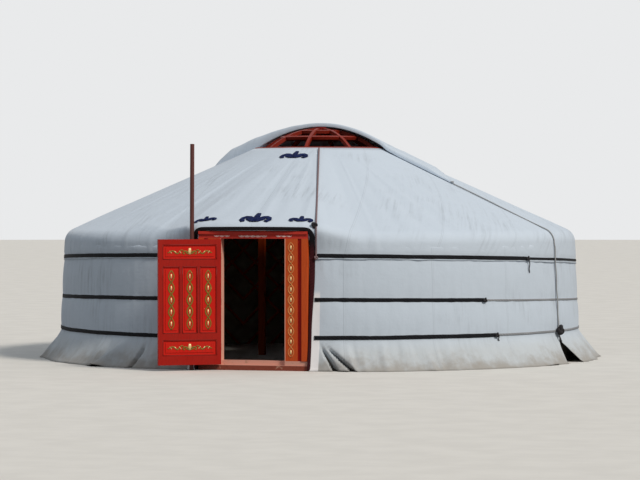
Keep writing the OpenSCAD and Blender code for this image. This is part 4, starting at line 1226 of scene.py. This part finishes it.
class TENT_OT_hide_knots(Operator):
    """Ties the lattice at its crossings with rawhide knots on the inner side"""
    bl_idname = "tent.hide_knots"
    bl_label = "Lattice knots"

    def execute(self, context):
        scene = context.scene
        shape = Shape(scene.tent_form)
        # the lattice: heads round the wall, crossings in a row, radii of its middle and of the knots, mm
        heads, rows, lattice_r, knot_r = 55, 9, 2786, 2771.5
        pole_r, lath_w, lath_t = 17, 28, 14
        door_side = math.degrees(math.asin((FRAME_HALF + 4) / (lattice_r - lath_t)))
        pitch = (360 - 2 * door_side) / heads
        seat = (shape.form.eave_h + (shape.form.wall_out - lattice_r) * shape.tan
                - ROOF_OVER_POLES / shape.cos)
        top = seat - pole_r / shape.cos * math.sqrt(2) - lath_w / math.sqrt(2) - lath_t * shape.tan - 3
        step = (top - 90) / (rows - 1)
        bm = bmesh.new()
        for i in range(heads):
            for row in range(rows):
                turn = door_side + (i + 0.5 + row % 2 / 2) * pitch
                if turn > 360 - door_side - 0.3 * pitch:
                    continue
                place = (Matrix.Translation(turned(knot_r, top - row * step, turn))
                         @ Matrix.Rotation(math.radians(turn), 4, "Z")
                         @ Matrix.Diagonal((8 * MM, 4 * MM, 9 * MM, 1)))
                bmesh.ops.create_icosphere(bm, subdivisions=1, radius=1.0, matrix=place)
        piece = new_object("lattice_knots", bm, scene.tent_finish["leather"])
        return {"FINISHED"}


class TENT_OT_paint(Operator):
    """Paints and finishes the wood, felt and iron of the frame"""
    bl_idname = "tent.paint"
    bl_label = "Paint and felt"

    def execute(self, context):
        finishes = context.scene.tent_finish
        wanted = {
            "door_sill": "sill", "door_lintel": "lintel", "door_jamb": "jamb", "leaf_frame": "red_upright",
            "leaf_panels": "bright_red", "leaf_hinges": "iron", "hinge_brackets": "iron", "lattice": "orange",
            "roof_poles": "orange", "crown_rim": "crown", "crown_hub": "dark_red", "crown_spokes": "crown",
            "crown_rings": "crown", "crown_post": "orange_upright", "wall_felt": "felt", "roof_felt": "felt",
            "flap_pole": "pole", "wall_cover": "canvas", "roof_cover": "canvas", "skirt": "canvas",
            "crown_flap": "canvas",
            "belt": "belt", "hem": "binding", "flap_rope": "rope", "flap_pull_rope": "pull_rope",
        }
        for name, node in frame["nodes"].items():
            keys = [k for k in wanted if name.startswith(k)]
            if not keys:
                raise RuntimeError("no finish for " + name)
            node.data.materials.clear()
            node.data.materials.append(finishes[wanted[max(keys, key=len)]])
        return {"FINISHED"}


def looked_at(tree):
    """1 where the camera looks, straight or by a mirror or glass, and 0 for light that is thrown about."""
    camera, glossy, clear = (add(tree, "LightPath", out="Is %s Ray" % kind)
                             for kind in ("Camera", "Glossy", "Transmission"))
    other = add(tree, "Math", (glossy, clear), operation="MAXIMUM")
    return add(tree, "Math", (camera, other), operation="MAXIMUM")


class TENT_OT_stage(Operator):
    """Sets the floor, the soft light and the camera"""
    bl_idname = "tent.stage"
    bl_label = "Stage"

    def execute(self, context):
        scene = context.scene
        stage = scene.tent_stage
        bm = bmesh.new()
        bmesh.ops.create_circle(bm, cap_ends=True, segments=96, radius=90)
        mesh = bpy.data.meshes.new("floor")
        bm.to_mesh(mesh)
        bm.free()
        floor = bpy.data.objects.new("floor", mesh)
        scene.collection.objects.link(floor)
        finish, tree, skin, place = start("pale matt floor", Roughness=1.0, Specular_IOR_Level=0.1)
        # pale to the camera, but it throws back only as much light as dry ground does
        fleck = add(tree, "TexNoise", {"Vector": place, "Scale": per(400), "Detail": 3, "Roughness": 0.55})
        pale = over(tree, "#d9d8d4", "#dfdeda", fleck, 0.3, 0.7)
        tree.links.new(over(tree, "#75716a", pale, looked_at(tree)), skin["Base Color"])
        mesh.materials.append(finish)
        floor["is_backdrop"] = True

        world = bpy.data.worlds.new("soft sky")
        scene.world = world
        world.use_nodes = True
        sky = world.node_tree
        light = sky.nodes["Background"]
        light.inputs["Color"].default_value = linear("#dfe4ea")
        light.inputs["Strength"].default_value = stage.sky
        # behind the tent the sky is a plain pale wall, and it lights nothing
        wall = add(sky, "Background", ("#e9eaeb", 1.0))
        both = add(sky, "MixShader", (looked_at(sky), light.outputs[0], wall))
        sky.links.new(both, sky.nodes["World Output"].inputs["Surface"])
        sun = bpy.data.lights.new("soft sun", "SUN")
        sun.energy, sun.angle = stage.key, math.radians(14)
        sun.color = linear("#fff6ea")[:3]
        lamp = bpy.data.objects.new("soft sun", sun)
        lamp.rotation_mode = "QUATERNION"
        lamp.rotation_quaternion = Vector((-0.70, 0.41, -0.71)).to_track_quat("-Z", "Y")
        scene.collection.objects.link(lamp)

        a = math.radians(stage.azimuth)
        camera = bpy.data.objects.new("camera", bpy.data.cameras.new("camera"))
        scene.collection.objects.link(camera)
        camera.location = (stage.distance * math.sin(a), -stage.distance * math.cos(a), stage.height)
        aim = Vector((0, 0, 1.30)) - camera.location
        camera.rotation_mode = "QUATERNION"
        camera.rotation_quaternion = aim.to_track_quat("-Z", "Y")
        camera.data.lens = stage.lens
        camera.data.clip_end = 400
        scene.camera = camera
        scene.view_settings.view_transform = "Standard"
        return {"FINISHED"}


class TENT_PT_panel(Panel):
    """Lists the tent's pieces"""
    bl_label = "Felt tent"
    bl_idname = "TENT_PT_panel"
    bl_space_type = "VIEW_3D"
    bl_region_type = "UI"
    bl_category = "Tent"

    def draw(self, context):
        for operator in OPERATORS:
            self.layout.operator(operator.bl_idname)
        for group in ("tent_form", "tent_canvas", "tent_cords", "tent_paint", "tent_stage"):
            box = self.layout.box()
            settings = getattr(context.scene, group)
            for key in settings.bl_rna.properties.keys():
                if key not in ("rna_type", "name"):
                    box.prop(settings, key)


OPERATORS = (TENT_OT_stage, TENT_OT_paint, TENT_OT_wall_canvas, TENT_OT_roof_canvas, TENT_OT_crown_cover,
             TENT_OT_door_binding, TENT_OT_belts, TENT_OT_ropes, TENT_OT_roof_ornament, TENT_OT_door_ornament,
             TENT_OT_hide_knots)
GROUPS = {"tent_form": TentForm, "tent_canvas": TentCanvas, "tent_cords": TentCords, "tent_paint": TentPaint,
          "tent_stage": TentStage}


class Finishes:
    """The finishes, each made once, when it is first asked for."""
    made = {}

    def __getitem__(self, key):
        if key not in self.made:
            scene = bpy.context.scene
            canvas, cords, paint = scene.tent_canvas, scene.tent_cords, scene.tent_paint
            make, *settings = {
                "canvas": (canvas_finish, canvas),
                "felt": (felt_finish,),
                "orange": (painted_finish, "orange oil paint", paint.orange, paint.bare, LEVEL, 0.8),
                # the jambs: a lighter copy of the orange, standing for sunlight, with red grooves
                "jamb": (painted_finish, "orange and red oil paint", paint.jamb, paint.bare, UPRIGHT, 0.5,
                         paint.red),
                "orange_upright": (painted_finish, "orange oil paint, upright grain", paint.orange,
                                   paint.bare),
                "sill": (painted_finish, "trodden red paint", "#8c4636", "#b98c78", LEVEL, 2.2, None, 0.052),
                # the lintel's red is lighter than the leaf's: painted sunlight, though the roof's raised edge
                # shades the lintel
                "lintel": (painted_finish, "faded red oil paint", "#c4382c", "#dc9c8c", LEVEL, 1.0),
                "bright_red": (painted_finish, "bright red oil paint", paint.bright_red, paint.bare,
                               UPRIGHT, 0.3),
                "crown": (painted_finish, "crown red oil paint", paint.crown_red, paint.bare, LEVEL, 0.7),
                "red_upright": (painted_finish, "red oil paint, upright grain", paint.red, paint.bare,
                                UPRIGHT, 0.4),
                "dark_red": (painted_finish, "dark red oil paint", paint.dark_red, paint.bare, LEVEL, 0.8),
                "pole": (painted_finish, "weathered brown paint", "#5c3430", "#8a6a52", UPRIGHT, 1.4),
                "gilt": (gilt_finish, paint),
                "olive": (painted_finish, "olive and gold oil paint", "#8a6f2a", "#c9a65c", LEVEL, 2.0),
                "amber": (painted_finish, "amber oil paint", "#d98c50", paint.bare, LEVEL, 0.8),
                # near white: pale ornament paint lightened as a painted highlight
                "pink": (painted_finish, "pale pink oil paint", "#ffdcd6", "#e0a498", LEVEL, 0.8),
                "belt": (woven_finish, "black hair webbing", cords.belt, "#1d1e24"),
                "belt_end": (woven_finish, "worn hair webbing", cords.belt_end, "#a4a7ab"),
                # the binding's top over the door is darkened as painted shade
                "binding": (woven_finish, "dark edging cloth", cords.binding, "#45181f", 8.0, "#0c0a0e"),
                "rope": (hair_rope_finish, "bleached hair rope", cords.rope, "#b3b4b6"),
                "knot": (hair_rope_finish, "dark hair rope", cords.knot, "#2b272c"),
                "pull_rope": (hair_rope_finish, "red-brown hair rope", cords.pull_rope, "#947c7e"),
                "applique": (applique_finish, canvas),
                "iron": (iron_finish,),
                "leather": (leather_finish,),
            }[key]
            self.made[key] = make(*settings)
        return self.made[key]


def register():
    for item in (*GROUPS.values(), *OPERATORS, TENT_PT_panel):
        bpy.utils.register_class(item)
    for name, group in GROUPS.items():
        setattr(bpy.types.Scene, name, PointerProperty(type=group))
    bpy.types.Scene.tent_finish = Finishes()


def unregister():
    for name in (*GROUPS, "tent_finish"):
        delattr(bpy.types.Scene, name)
    for item in reversed((*GROUPS.values(), *OPERATORS, TENT_PT_panel)):
        bpy.utils.unregister_class(item)


def main():
    register()
    for operator in OPERATORS:
        name = operator.bl_idname.split(".")[1]
        if getattr(bpy.ops.tent, name)() != {"FINISHED"}:
            raise RuntimeError(name + " did not finish")
    low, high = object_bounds()
    {"cad": [list(CAD_BOX[0]), list(CAD_BOX[1])], "visual": [list(low), list(high)]}


if __name__ == "__main__":
    main()
